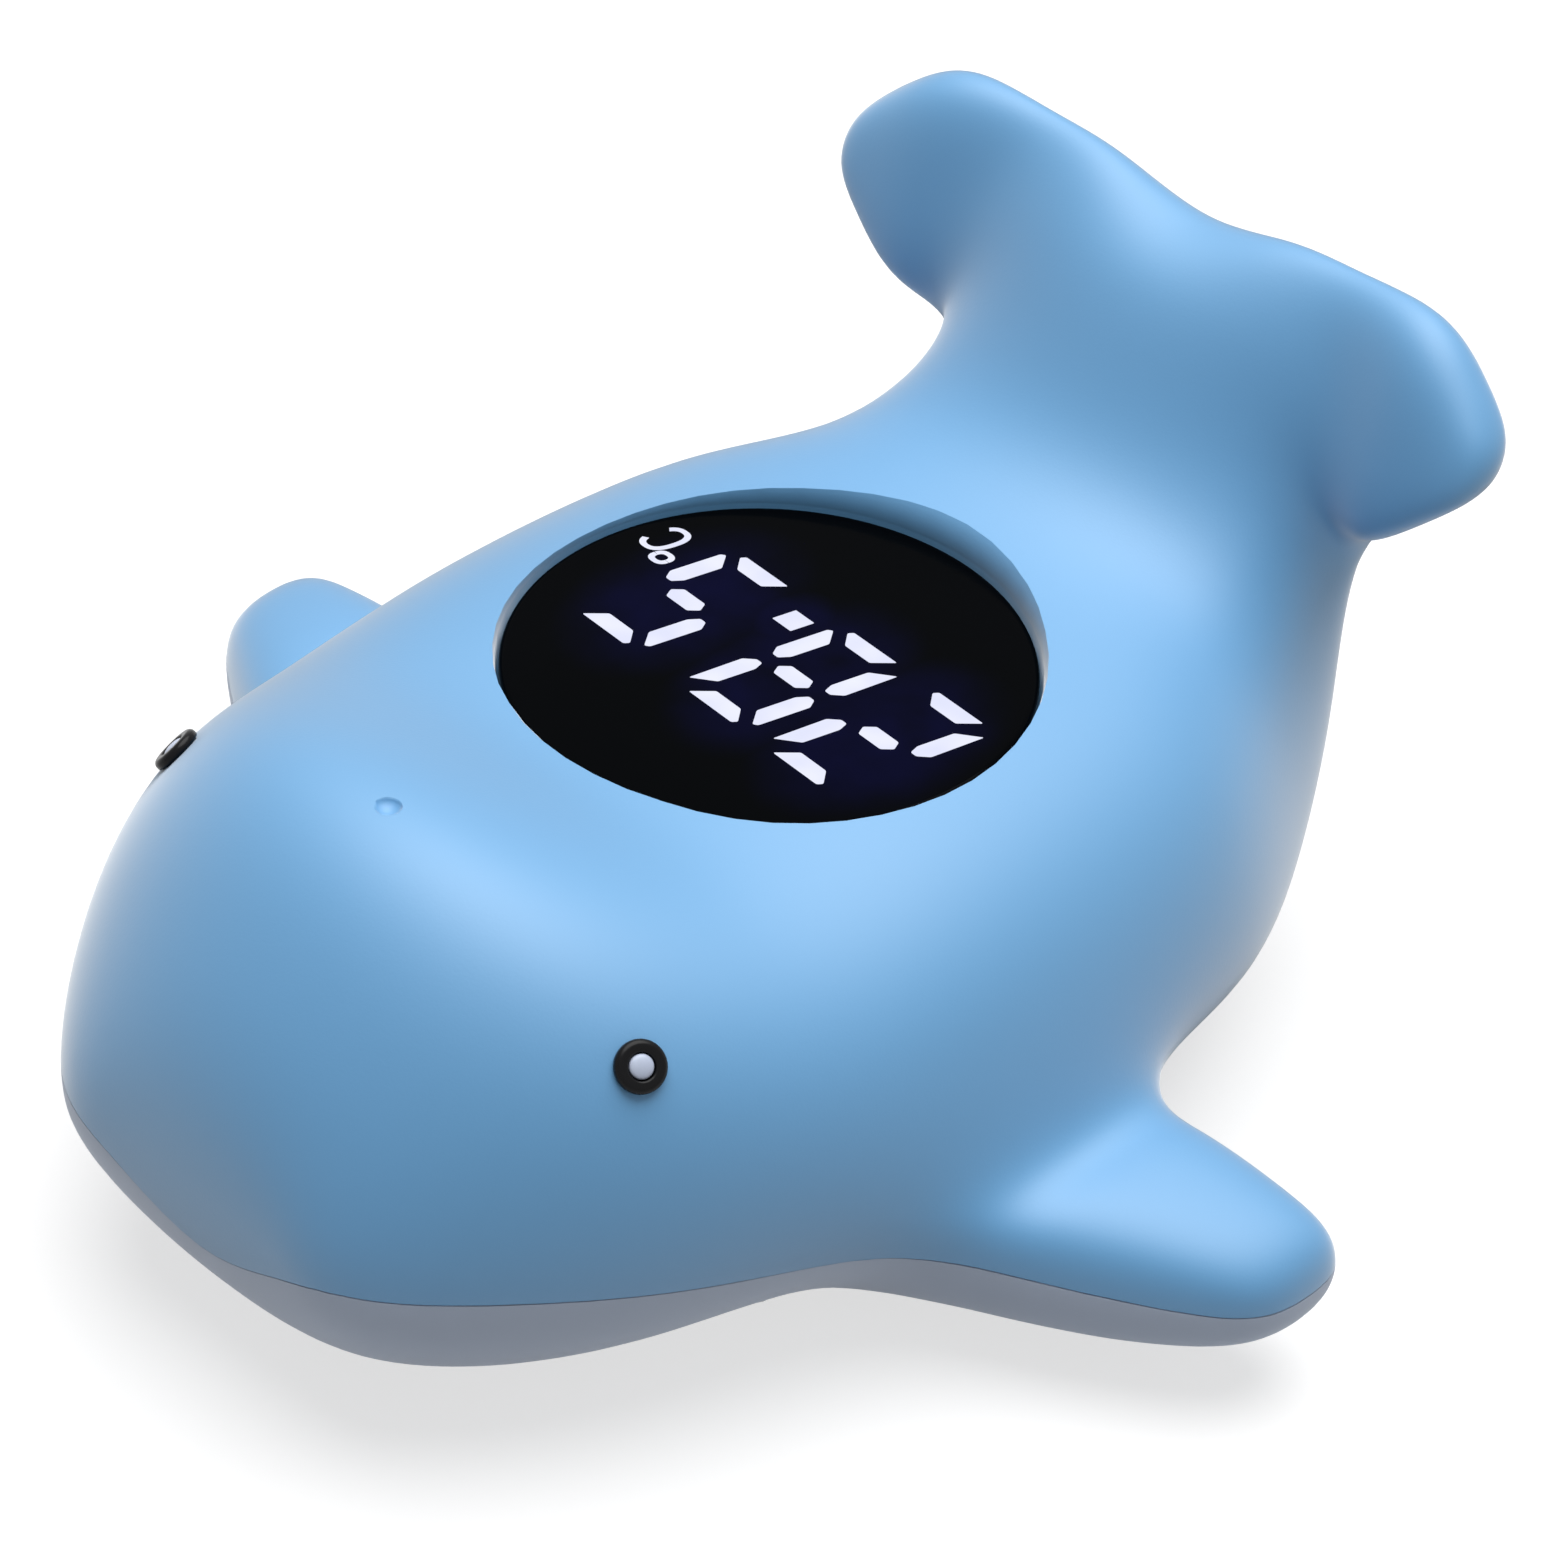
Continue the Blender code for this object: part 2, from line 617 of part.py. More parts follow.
def lower_shell(skin, grey):
    shell = skin.copy()
    shell.data = skin.data.copy()
    shell.name = "lower_shell"
    bpy.context.scene.collection.objects.link(shell)
    keep(shell, beside_parting(None, -SEAM / 2))
    cut(shell, box("floor", (-FAR, -FAR, -FAR), (FAR, FAR, 0)))
    raised = keep(core(WALL - TONGUE_WALL), beside_parting(-TONGUE_ROOT, TONGUE_HEIGHT))
    cut(raised, *[rod("post", CASE_BOSS_RADIUS + FIT, CASE_HEAD_Z - 1, FAR, at(x, y)) for x, y in case_places()])
    join(shell, raised)
    tray_low = (-BAY_HALF - BAY_WALL, BAY_FRONT_Y - BAY_WALL)
    tray_high = (BAY_HALF + BAY_WALL, BAY_REAR_Y + BAY_WALL)
    join(shell, slab("tray", tray_low, tray_high, 1, 5, BAY_TOP + BAY_WALL))
    hollow = core(WALL)
    seat_low, seat_high, seat_corner = cover_outline(BAY_WALL + FIT)
    cut(hollow, slab("seat", seat_low, seat_high, seat_corner, -5, SEAL_TOP + FIT + BAY_WALL))
    cut(hollow, slab("walls", tray_low, tray_high, 1, -5, BAY_TOP + BAY_WALL))
    cut(hollow, rod("lug", CASE_BOSS_RADIUS, -5, FAR, at(0, COVER_SCREW_Y)))
    cut(hollow, *[rod("post", CASE_BOSS_RADIUS, -5, FAR, at(x, y)) for x, y in case_places()])
    cut(hollow, rod("sensor_seat", SENSOR_FLANGE + 1, -5, SENSOR_HEIGHT, at(0, SENSOR_Y)))
    cut(shell, hollow)
    cut_low, cut_high, cut_corner = cover_outline(FIT)
    cut(shell, slab("cover_seat", cut_low, cut_high, cut_corner, -5, COVER_THICK + FIT))
    seal_low = (-BAY_HALF - SEAL_WIDTH - 2 * FIT, BAY_FRONT_Y - SEAL_WIDTH - 2 * FIT)
    seal_high = (BAY_HALF + SEAL_WIDTH + 2 * FIT, BAY_REAR_Y + SEAL_WIDTH + 2 * FIT)
    cut(shell, slab("seal_seat", seal_low, seal_high, 2, 0, SEAL_TOP + FIT))
    cut(shell, slab("bay", (-BAY_HALF, BAY_FRONT_Y), (BAY_HALF, BAY_REAR_Y), 0.8, -5, BAY_TOP))
    cut(shell, rod("pilot", SCREW_RADIUS + SCREW_FIT, 0, COVER_SCREW_LENGTH + 1.5, at(0, COVER_SCREW_Y), 12))
    for x, y in case_places():
        cut(shell, rod("head_well", SCREW_HEAD_RADIUS + FIT, -5, CASE_HEAD_Z, at(x, y)))
        cut(shell, rod("shank_hole", SCREW_RADIUS + FIT, 0, 40, at(x, y), 12))
    for side in (-1, 1):
        low = (side * TAB_X - TAB_SIZE[0] / 2 - FIT, COVER_FRONT_Y - TAB_SIZE[1] - FIT, COVER_THICK - TAB_SIZE[2] - FIT)
        high = (side * TAB_X + TAB_SIZE[0] / 2 + FIT, COVER_FRONT_Y + 1, COVER_THICK + FIT)
        cut(shell, box("tab_slot", low, high))
    cut(shell, rod("sensor_hole", SENSOR_RADIUS + FIT, -5, 20, at(0, SENSOR_Y)))
    for side in (-1, 1):
        place = at(side * CONTACT_X, CONTACT_Y, contact_low(skin, side))
        cut(shell, rod("contact_seat", CONTACT_HEAD_RADIUS + FIT, -5, CONTACT_HEAD + FIT, place))
        cut(shell, rod("contact_hole", CONTACT_RADIUS + FIT, -5, 20, place, 12))
    return finish(shell, grey)


def battery_cover(skin, grey):
    low, high, corner = cover_outline(0)
    cover = slab("battery_cover", low, high, corner, 0, COVER_THICK)
    tabs = []
    for side in (-1, 1):
        tabs.append(box("tab", (side * TAB_X - TAB_SIZE[0] / 2, COVER_FRONT_Y - TAB_SIZE[1], COVER_THICK - TAB_SIZE[2]),
                        (side * TAB_X + TAB_SIZE[0] / 2, COVER_FRONT_Y + 2, COVER_THICK - 0.01)))
    join(cover, *tabs)
    shape = skin.copy()
    shape.data = skin.data.copy()
    bpy.context.scene.collection.objects.link(shape)
    keep(cover, shape)
    cut(cover, rod("hole", SCREW_RADIUS + FIT, -5, 5, at(0, COVER_SCREW_Y), 12))
    cut(cover, rod("head_well", SCREW_HEAD_RADIUS + FIT, -5, SCREW_HEAD, at(0, COVER_SCREW_Y)))
    return finish(cover, grey)


# Display

def display_pieces(dark, rubber, green, black, white, steel):
    bevel = WINDOW_BEVEL
    profile = ((0, -WINDOW_THICK), (WINDOW_RADIUS, -WINDOW_THICK), (WINDOW_RADIUS, -bevel),
               (WINDOW_RADIUS - bevel * 0.3, -bevel * 0.3), (WINDOW_RADIUS - bevel, 0), (0, 0))
    finish(turned("display_window", profile, DISPLAY, 64), dark)
    outer = WINDOW_RADIUS - 0.1
    inner = outer - GASKET_WIDTH
    ring = ((inner, GASKET_TOP - GASKET_THICK), (outer, GASKET_TOP - GASKET_THICK), (outer, GASKET_TOP), (inner, GASKET_TOP))
    finish(turned("window_gasket", ring, DISPLAY, 40), rubber)
    half = [side / 2 for side in MODULE_SIZE]
    module = box("led_display", (-half[0], -half[1], MODULE_LOW), (half[0], half[1], MODULE_TOP), DISPLAY)
    keep(module, rod("round_ends", LEDGE_RADIUS - FIT, MODULE_LOW - 1, MODULE_TOP + 1, DISPLAY, ROUND))
    cut(module, *segment_pockets())
    finish(module, white)
    low = (-BOARD_SIZE[0] / 2, -BOARD_SIZE[1] / 2)
    high = (BOARD_SIZE[0] / 2, BOARD_SIZE[1] / 2)
    board = slab("display_board", low, high, BOARD_CORNER, BOARD_LOW, BOARD_TOP, DISPLAY)
    cut(board, *[rod("hole", SCREW_RADIUS + FIT, BOARD_LOW - 1, BOARD_TOP + 1, DISPLAY @ at(x, y), 12)
                 for x, y in BOARD_SCREWS])
    finish(board, green)
    for number, (x, y) in enumerate(BOARD_SCREWS, 1):
        place = DISPLAY @ at(x, y, BOARD_LOW - FIT)
        screw(f"board_screw_{number}", SCREW_HEAD_RADIUS, SCREW_HEAD, SCREW_RADIUS, BOARD_SCREW_LENGTH, place, steel)
    top = BOARD_LOW - FIT
    chip = [side / 2 for side in CHIP_SIZE]
    finish(box("control_chip", (-chip[0], -chip[1] + 5, top - CHIP_SIZE[2]), (chip[0], chip[1] + 5, top), DISPLAY), black)
    for name, (x, y) in zip(("sensor_socket", "battery_socket"), SOCKET_AT):
        socket = box(name, (x - SOCKET_SIZE[0] / 2, y - SOCKET_SIZE[1] / 2, top - SOCKET_SIZE[2]),
                     (x + SOCKET_SIZE[0] / 2, y + SOCKET_SIZE[1] / 2, top), DISPLAY)
        inner = box("plug_room", (x - SOCKET_SIZE[0] / 2 + 0.8, y - SOCKET_SIZE[1] / 2 + 0.8, top - SOCKET_SIZE[2] - 1),
                    (x + SOCKET_SIZE[0] / 2 - 0.8, y + SOCKET_SIZE[1] / 2 - 0.8, top - 1), DISPLAY)
        finish(cut(socket, inner), white)


def segment_outline(centre, length, width, direction):
    """A slanted bar with pointed ends, as in a seven segment digit."""
    half = length / 2
    tip = width / 2
    bar = [(-half, 0), (-half + tip, -tip), (half - tip, -tip), (half, 0), (half - tip, tip), (-half + tip, tip)]
    lean = math.tan(math.radians(DIGIT_SLANT))
    points = []
    for along, across in bar:
        x, y = (along, across) if direction == "across" else (across, along)
        x, y = x + centre[0], y + centre[1]
        points.append((x + lean * y, y))
    return points


def digit_segments():
    """Centres and directions of the seven bars, from the digit's middle."""
    high = DIGIT_HEIGHT / 2
    side = DIGIT_WIDTH / 2
    across = [((0, y), "across") for y in (-high, 0, high)]
    return across + [((x, y), "along") for x in (-side, side) for y in (-high / 2, high / 2)]


def segment_pockets():
    """The bars of the three digits, the point and the degree sign, for a reader at the tail."""
    turn = DISPLAY @ Matrix.Rotation(math.radians(180 + DISPLAY_TURN), 4, "Z")
    low = MODULE_TOP - SEGMENT_DEPTH
    pockets = []
    gap = 0.35
    for middle in DIGIT_MIDDLES:
        for (x, y), direction in digit_segments():
            length = (DIGIT_WIDTH if direction == "across" else DIGIT_HEIGHT / 2) - gap
            outline = segment_outline((x, y), length, DIGIT_STROKE, direction)
            outline = [(px + middle, py + DIGIT_RISE) for px, py in outline]
            pockets.append(prism("bar", outline, low, MODULE_TOP + 1, turn))
    (x, y), half = POINT_AT, POINT_SIZE / 2
    square = [(x - half, y - half), (x + half, y - half), (x + half, y + half), (x - half, y + half)]
    pockets.append(prism("point", square, low, MODULE_TOP + 1, turn))
    pockets.append(rod("degree", DEGREE_RADIUS, low, MODULE_TOP + 1, turn @ at(*DEGREE_AT), 12))
    (x, y), stroke = SCALE_LETTER_AT, SCALE_LETTER_STROKE
    half_x, half_y = [side / 2 for side in SCALE_LETTER_SIZE]
    bracket = [(x - half_x, y - half_y), (x + half_x, y - half_y), (x + half_x, y - half_y + stroke),
               (x - half_x + stroke, y - half_y + stroke), (x - half_x + stroke, y + half_y - stroke),
               (x + half_x, y + half_y - stroke), (x + half_x, y + half_y), (x - half_x, y + half_y)]
    pockets.append(prism("scale_letter", bracket, low, MODULE_TOP + 1, turn))
    return pockets


# Eyes

def eye_pieces(places, black, pale):
    for name, place in zip(("left", "right"), places):
        rise = EYE_PROUD
        hole = PUPIL_RADIUS + 0.1
        body = ((hole, -EYE_STEM), (EYE_STEM_RADIUS, -EYE_STEM), (EYE_STEM_RADIUS, FIT),
                (EYE_RADIUS, FIT), (EYE_RADIUS, FIT + rise * 0.35), (EYE_RADIUS * 0.85, FIT + rise * 0.85),
                (hole + 0.25, FIT + rise), (hole, FIT + rise))
        finish(turned(f"{name}_eye", body, place, 24), black)
        top = FIT + rise + 0.1
        pin = ((0, -EYE_STEM), (PUPIL_RADIUS - 0.2, -EYE_STEM), (PUPIL_RADIUS - 0.2, top - 0.3),
               (PUPIL_RADIUS * 0.5, top - 0.05), (0, top))
        finish(turned(f"{name}_pupil", pin, place, 16), pale)


# Battery

def coil_spring(name, radius_low, radius_high, wire, turns, height, place, finish_material):
    points = []
    steps = int(turns * 10)
    for i in range(steps + 1):
        t = i / steps
        radius = mix(radius_low, radius_high, t)
        angle = 2 * math.pi * turns * t
        points.append(place @ Vector((radius * math.cos(angle), radius * math.sin(angle), wire + (height - 2 * wire) * t)))
    return finish(tube(name, points, wire, 5, 1), finish_material)


def battery_pieces(metal, jacket, copper):
    half_pitch = CELL_PITCH / 2
    front_plate = BAY_FRONT_Y + FIT
    rear_plate = BAY_REAR_Y - FIT - PLATE_THICK
    plate_low = CELL_Z - CELL_RADIUS * 0.75
    plate_high = CELL_Z + CELL_RADIUS * 0.75
    wide = half_pitch + CELL_RADIUS * 0.8
    finish(box("contact_bridge", (-wide, front_plate, plate_low), (wide, front_plate + PLATE_THICK, plate_high)), metal)
    for name, side in (("positive_plate", 1), ("negative_plate", -1)):
        low = (side * half_pitch - CELL_RADIUS * 0.7, rear_plate, plate_low)
        high = (side * half_pitch + CELL_RADIUS * 0.7, rear_plate + PLATE_THICK, plate_high)
        finish(box(name, low, high), metal)
    gap = FIT
    nub_room = SPRING_ROOM
    cell = ((0, 0), (CELL_RADIUS - 0.5, 0), (CELL_RADIUS, 0.5), (CELL_RADIUS, CELL_LENGTH - 0.6),
            (CELL_RADIUS - 0.6, CELL_LENGTH), (CELL_NUB_RADIUS, CELL_LENGTH), (CELL_NUB_RADIUS, CELL_LENGTH + CELL_NUB),
            (0, CELL_LENGTH + CELL_NUB))
    front = front_plate + PLATE_THICK
    left = along_y(half_pitch, front + nub_room - gap, CELL_Z)
    finish(turned("battery_left", cell, left, 28), jacket)
    flip = along_y(-half_pitch, rear_plate - nub_room + gap, CELL_Z) @ Matrix.Rotation(math.radians(180), 4, "X")
    finish(turned("battery_right", cell, flip, 28), jacket)
    height = nub_room - 2 * gap - 0.1
    coil_spring("bridge_spring", 3.4, 2.0, 0.3, 2.5, height, along_y(half_pitch, front + gap, CELL_Z), copper)
    back = along_y(-half_pitch, rear_plate - gap, CELL_Z) @ Matrix.Rotation(math.radians(180), 4, "X")
    coil_spring("negative_spring", 3.4, 2.0, 0.3, 2.5, height, back, copper)
    seal_inner_low = (-BAY_HALF - FIT, BAY_FRONT_Y - FIT)
    seal_inner_high = (BAY_HALF + FIT, BAY_REAR_Y + FIT)
    return seal_inner_low, seal_inner_high


def battery_seal(inner, rubber):
    low, high = inner
    grown_low = (low[0] - SEAL_WIDTH, low[1] - SEAL_WIDTH)
    grown_high = (high[0] + SEAL_WIDTH, high[1] + SEAL_WIDTH)
    base = COVER_THICK + FIT
    ring = slab("battery_seal", grown_low, grown_high, 2, base, base + SEAL_THICK)
    cut(ring, slab("inside", low, high, 1, base - 1, base + SEAL_THICK + 1))
    return finish(ring, rubber)


# Sensor, contacts and leads

def sensor_pieces(steel, black):
    wall = SENSOR_WALL
    low = 0.5
    seat = SENSOR_HEIGHT + FIT
    rim = seat + 0.8
    shape = ((0, low), (SENSOR_RADIUS * 0.6, low + 0.1), (SENSOR_RADIUS, low + 1.2), (SENSOR_RADIUS, seat),
             (SENSOR_FLANGE, seat), (SENSOR_FLANGE, rim), (SENSOR_RADIUS - wall, rim),
             (SENSOR_RADIUS - wall, low + 1.4), (SENSOR_RADIUS * 0.6 - wall, low + wall + 0.2), (0, low + wall))
    finish(turned("sensor_cap", shape, at(0, SENSOR_Y), 28), steel)
    bead = ((0, low + wall + FIT), (0.9, low + wall + FIT + 0.4), (1.1, low + wall + 1.6), (0.7, low + wall + 3), (0, low + wall + 3.4))
    finish(turned("thermistor", bead, at(0, SENSOR_Y), 12), black)


def contact_low(skin, side):
    """Height of the lowest point of a water contact, a little proud of the belly."""
    return surface_frame(skin, Vector((side * CONTACT_X, CONTACT_Y, -5))).translation.z - CONTACT_PROUD


def contact_pieces(skin, steel):
    for name, side in (("left", 1), ("right", -1)):
        head = ((0, 0), (CONTACT_HEAD_RADIUS * 0.7, 0), (CONTACT_HEAD_RADIUS, CONTACT_HEAD * 0.4),
                (CONTACT_HEAD_RADIUS, CONTACT_HEAD), (CONTACT_RADIUS, CONTACT_HEAD),
                (CONTACT_RADIUS, CONTACT_LENGTH), (0, CONTACT_LENGTH))
        place = at(side * CONTACT_X, CONTACT_Y, contact_low(skin, side))
        finish(turned(f"water_contact_{name}", head, place, 16), steel)


def leads(red, black, white):
    """Three leads that run beside the battery bay and up into the plugs of the board."""
    under = BOARD_LOW - FIT - SOCKET_SIZE[2] + 1.2
    sensor_plug, battery_plug = [DISPLAY @ Vector((x, y, under)) for x, y in SOCKET_AT]
    beside = sensor_plug.x
    rear = BAY_REAR_Y + BAY_WALL + LEAD_RADIUS + 2 * FIT
    start = Vector((0, SENSOR_Y, SENSOR_HEIGHT + FIT))
    route = [start, start + Vector((0, 0, 3)), Vector((beside / 2, SENSOR_Y + 4, 12)), Vector((beside, BAY_FRONT_Y + 5, 11)),
             sensor_plug + Vector((0, -1, -6)), sensor_plug]
    finish(tube("sensor_lead", route, LEAD_RADIUS), white)
    beside = battery_plug.x
    for name, side, low, finish_material in (("positive_lead", 1, 10.5, red), ("negative_lead", -1, 13.0, black)):
        near = battery_plug + Vector((side * LEAD_RADIUS * 1.5, 0, 0))
        route = [Vector((side * CELL_PITCH / 2, rear, low))]
        if side < 0:
            route.append(Vector((4, rear + 0.4, low + 0.4)))
        route += [Vector((beside - 3, rear + 0.3, low)), Vector((near.x, BAY_REAR_Y - 6, low - 0.5)),
                  Vector((near.x, 0, low - 0.5)), near - Vector((0, 0, 3)), near]
        finish(tube(name, route, LEAD_RADIUS), finish_material)


def build():
    clear_scene()
    blue = material("soft_blue_plastic", "#8FBCE0", 0.5)
    grey = material("pale_grey_plastic", "#C9CFDB", 0.5)
    dark = material("smoked_window", "#07080C", 0.08)
    black = material("black_plastic", "#15161A", 0.3)
    white = material("white_plastic", "#E6E8EC", 0.5)
    rubber = material("silicone_rubber", "#5A5E66", 0.7)
    green = material("circuit_board", "#1E5B3A", 0.5)
    steel = material("stainless_steel", "#C4C6C8", 0.3, 1.0)
    nickel = material("nickel_plate", "#CFCBC0", 0.3, 1.0)
    jacket = material("cell_jacket", "#4C6E58", 0.35)
    red = material("red_lead", "#B3261E", 0.5)
    skin = hull("skin")
    eyes = [surface_frame(skin, EYE_AIM), surface_frame(skin, Vector((-EYE_AIM.x, EYE_AIM.y, EYE_AIM.z)))]
    upper_shell(skin, eyes, blue)
    lower_shell(skin, grey)
    battery_cover(skin, grey)
    display_pieces(dark, rubber, green, black, white, steel)
    eye_pieces(eyes, black, white)
    battery_seal(battery_pieces(nickel, jacket, nickel), rubber)
    screw("cover_screw", SCREW_HEAD_RADIUS, SCREW_HEAD - FIT, SCREW_RADIUS, COVER_SCREW_LENGTH,
          at(0, COVER_SCREW_Y, SCREW_HEAD - FIT + 0.1), steel)
    for number, (x, y) in enumerate(case_places(), 1):
        screw(f"case_screw_{number}", SCREW_HEAD_RADIUS, SCREW_HEAD, SCREW_RADIUS, CASE_SCREW_LENGTH,
              at(x, y, CASE_HEAD_Z - FIT), steel)
    sensor_pieces(steel, black)
    contact_pieces(skin, steel)
    leads(red, black, white)
    bpy.data.objects.remove(skin, do_unlink=True)


build()
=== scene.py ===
import math

import bpy
from mathutils import Matrix, Vector
from mathutils.bvhtree import BVHTree
from mathutils.interpolate import poly_3d_calc


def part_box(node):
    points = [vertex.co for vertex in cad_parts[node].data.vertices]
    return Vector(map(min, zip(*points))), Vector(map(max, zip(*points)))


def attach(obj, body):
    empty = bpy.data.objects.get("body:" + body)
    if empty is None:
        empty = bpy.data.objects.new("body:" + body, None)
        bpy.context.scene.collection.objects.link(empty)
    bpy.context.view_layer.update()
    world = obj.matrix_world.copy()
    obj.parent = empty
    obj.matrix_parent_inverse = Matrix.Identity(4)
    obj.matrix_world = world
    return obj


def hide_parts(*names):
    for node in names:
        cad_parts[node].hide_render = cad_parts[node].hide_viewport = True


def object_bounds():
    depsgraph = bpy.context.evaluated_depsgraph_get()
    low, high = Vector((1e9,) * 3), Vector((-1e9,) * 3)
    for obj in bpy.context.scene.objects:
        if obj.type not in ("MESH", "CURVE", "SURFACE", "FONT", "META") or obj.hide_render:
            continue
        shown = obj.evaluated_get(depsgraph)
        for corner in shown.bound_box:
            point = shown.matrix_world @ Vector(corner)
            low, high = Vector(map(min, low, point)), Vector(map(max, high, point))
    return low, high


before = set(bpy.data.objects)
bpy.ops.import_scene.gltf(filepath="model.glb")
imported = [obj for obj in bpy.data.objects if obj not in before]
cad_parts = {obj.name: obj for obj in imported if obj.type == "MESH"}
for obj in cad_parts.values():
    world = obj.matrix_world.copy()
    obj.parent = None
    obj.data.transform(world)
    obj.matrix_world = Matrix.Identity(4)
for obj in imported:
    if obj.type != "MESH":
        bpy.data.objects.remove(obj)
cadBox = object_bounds()
mm = 0.001
weld = 1e-6  # points nearer than this, in metres, are one


def deselect():
    if bpy.context.object and bpy.context.object.mode != "OBJECT":
        bpy.ops.object.mode_set(mode="OBJECT")
    bpy.ops.object.select_all(action="DESELECT")


def activate(piece):
    deselect()
    piece.select_set(True)
    bpy.context.view_layer.objects.active = piece
    return piece


def applyModifiers(piece):
    activate(piece)
    for modifier in list(piece.modifiers):
        bpy.ops.object.modifier_apply(modifier=modifier.name)
    return piece


def settle(piece):
    # a finished piece sits at the origin, unturned, with its place in its mesh
    activate(piece)
    bpy.ops.object.transform_apply(location=True, rotation=True, scale=True)
    return piece


def selectFaces(piece, test):
    activate(piece)
    bpy.ops.object.mode_set(mode="EDIT")
    bpy.ops.mesh.select_all(action="DESELECT")
    bpy.ops.mesh.select_mode(type="FACE")
    bpy.ops.object.mode_set(mode="OBJECT")
    for face in piece.data.polygons:
        face.select = test(face)
    bpy.ops.object.mode_set(mode="EDIT")


def selectEdges(piece, test):
    activate(piece)
    bpy.ops.object.mode_set(mode="EDIT")
    bpy.ops.mesh.select_all(action="DESELECT")
    bpy.ops.mesh.select_mode(type="EDGE")
    bpy.ops.object.mode_set(mode="OBJECT")
    points = piece.data.vertices
    for edge in piece.data.edges:
        edge.select = test(points[edge.vertices[0]].co, points[edge.vertices[1]].co)
    bpy.ops.object.mode_set(mode="EDIT")


def closeUp(piece):
    # merges doubles and turns every face outwards
    activate(piece)
    bpy.ops.object.mode_set(mode="EDIT")
    bpy.ops.mesh.select_all(action="SELECT")
    bpy.ops.mesh.remove_doubles(threshold=weld)
    bpy.ops.mesh.normals_make_consistent(inside=False)
    bpy.ops.object.mode_set(mode="OBJECT")
    return piece


def smooth(piece, degrees=35):
    activate(piece)
    bpy.ops.object.shade_smooth_by_angle(angle=math.radians(degrees))
    return piece


def carve(piece, tool):
    step = piece.modifiers.new("carve", "BOOLEAN")
    step.operation = "DIFFERENCE"
    step.object = tool
    step.solver = "EXACT"
    applyModifiers(piece)
    bpy.data.objects.remove(tool, do_unlink=True)
    return piece


def dress(piece, name, finish, slotName, *replaced):
    piece.name = name
    piece.data.name = name
    piece.data.materials.clear()
    piece.data.materials.append(finish)
    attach(piece, "root")
    if replaced:
        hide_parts(*replaced)
    return piece


# Camera, at the photograph's own angle

cameraView = {
    "azimuth": 42.7,
    "elevation": 37.6,
    "roll": 2.9,
    "distance": 394.5,
    "lookAt": (0, 0, 34),
    "lookAtPixel": (770.1, 654.6),
    "frame": 1568,
    "focal": 5632.0,  # in pixels of that frame
    "sensor": 36,
    "clipStart": 10,
}


def addCamera():
    azimuth, elevation, roll = [math.radians(cameraView[k]) for k in ("azimuth", "elevation", "roll")]
    back = Vector((math.sin(azimuth) * math.cos(elevation), -math.cos(azimuth) * math.cos(elevation),
                   math.sin(elevation)))
    level = Vector((math.cos(azimuth), math.sin(azimuth), 0))
    upright = back.cross(level)
    right = level * math.cos(roll) + upright * math.sin(roll)
    up = upright * math.cos(roll) - level * math.sin(roll)
    middle = cameraView["frame"] / 2
    across = (cameraView["lookAtPixel"][0] - middle) / cameraView["focal"]
    above = (middle - cameraView["lookAtPixel"][1]) / cameraView["focal"]
    ray = right * across + up * above - back
    place = (Vector(cameraView["lookAt"]) - ray * cameraView["distance"]) * mm
    bpy.ops.object.camera_add()
    camera = bpy.context.object
    camera.name = "studioCamera"
    camera.data.sensor_width = cameraView["sensor"]
    camera.data.lens = cameraView["sensor"] * cameraView["focal"] / cameraView["frame"]
    camera.data.clip_start = cameraView["clipStart"] * mm
    camera.matrix_world = Matrix.Translation(place) @ Matrix((right, up, back)).transposed().to_4x4()
    bpy.context.scene.camera = camera


# Materials

def linear(hexCode, alpha=1):
    parts = [int(hexCode[i:i + 2], 16) / 255 for i in (1, 3, 5)]
    return [c / 12.92 if c <= 0.04045 else ((c + 0.055) / 1.055) ** 2.4 for c in parts] + [alpha]


def addNode(tree, kind, settings=None, links=None):
    node = tree.nodes.new(kind)
    for key, value in (settings or {}).items():
        if isinstance(key, str) and hasattr(node, key):
            setattr(node, key, value)
        else:
            node.inputs[key].default_value = value
    for key, source in (links or {}).items():
        tree.links.new(source, node.inputs[key])
    return node


surface = {"glossDrift": 0.03, "grainDepth": 0.02, "hazeDrift": 0.05, "acrylicIor": 1.49,
           "metalDrift": 0.08, "lineStrength": 0.15, "lineDepth": 0.01,
           "diffuserRoughness": 0.12, "diffuserBody": "#101014"}


def newMaterial(name):
    finish = bpy.data.materials.new(name)
    finish.use_nodes = True
    tree = finish.node_tree
    shader = tree.nodes["Principled BSDF"]
    return finish, tree, shader


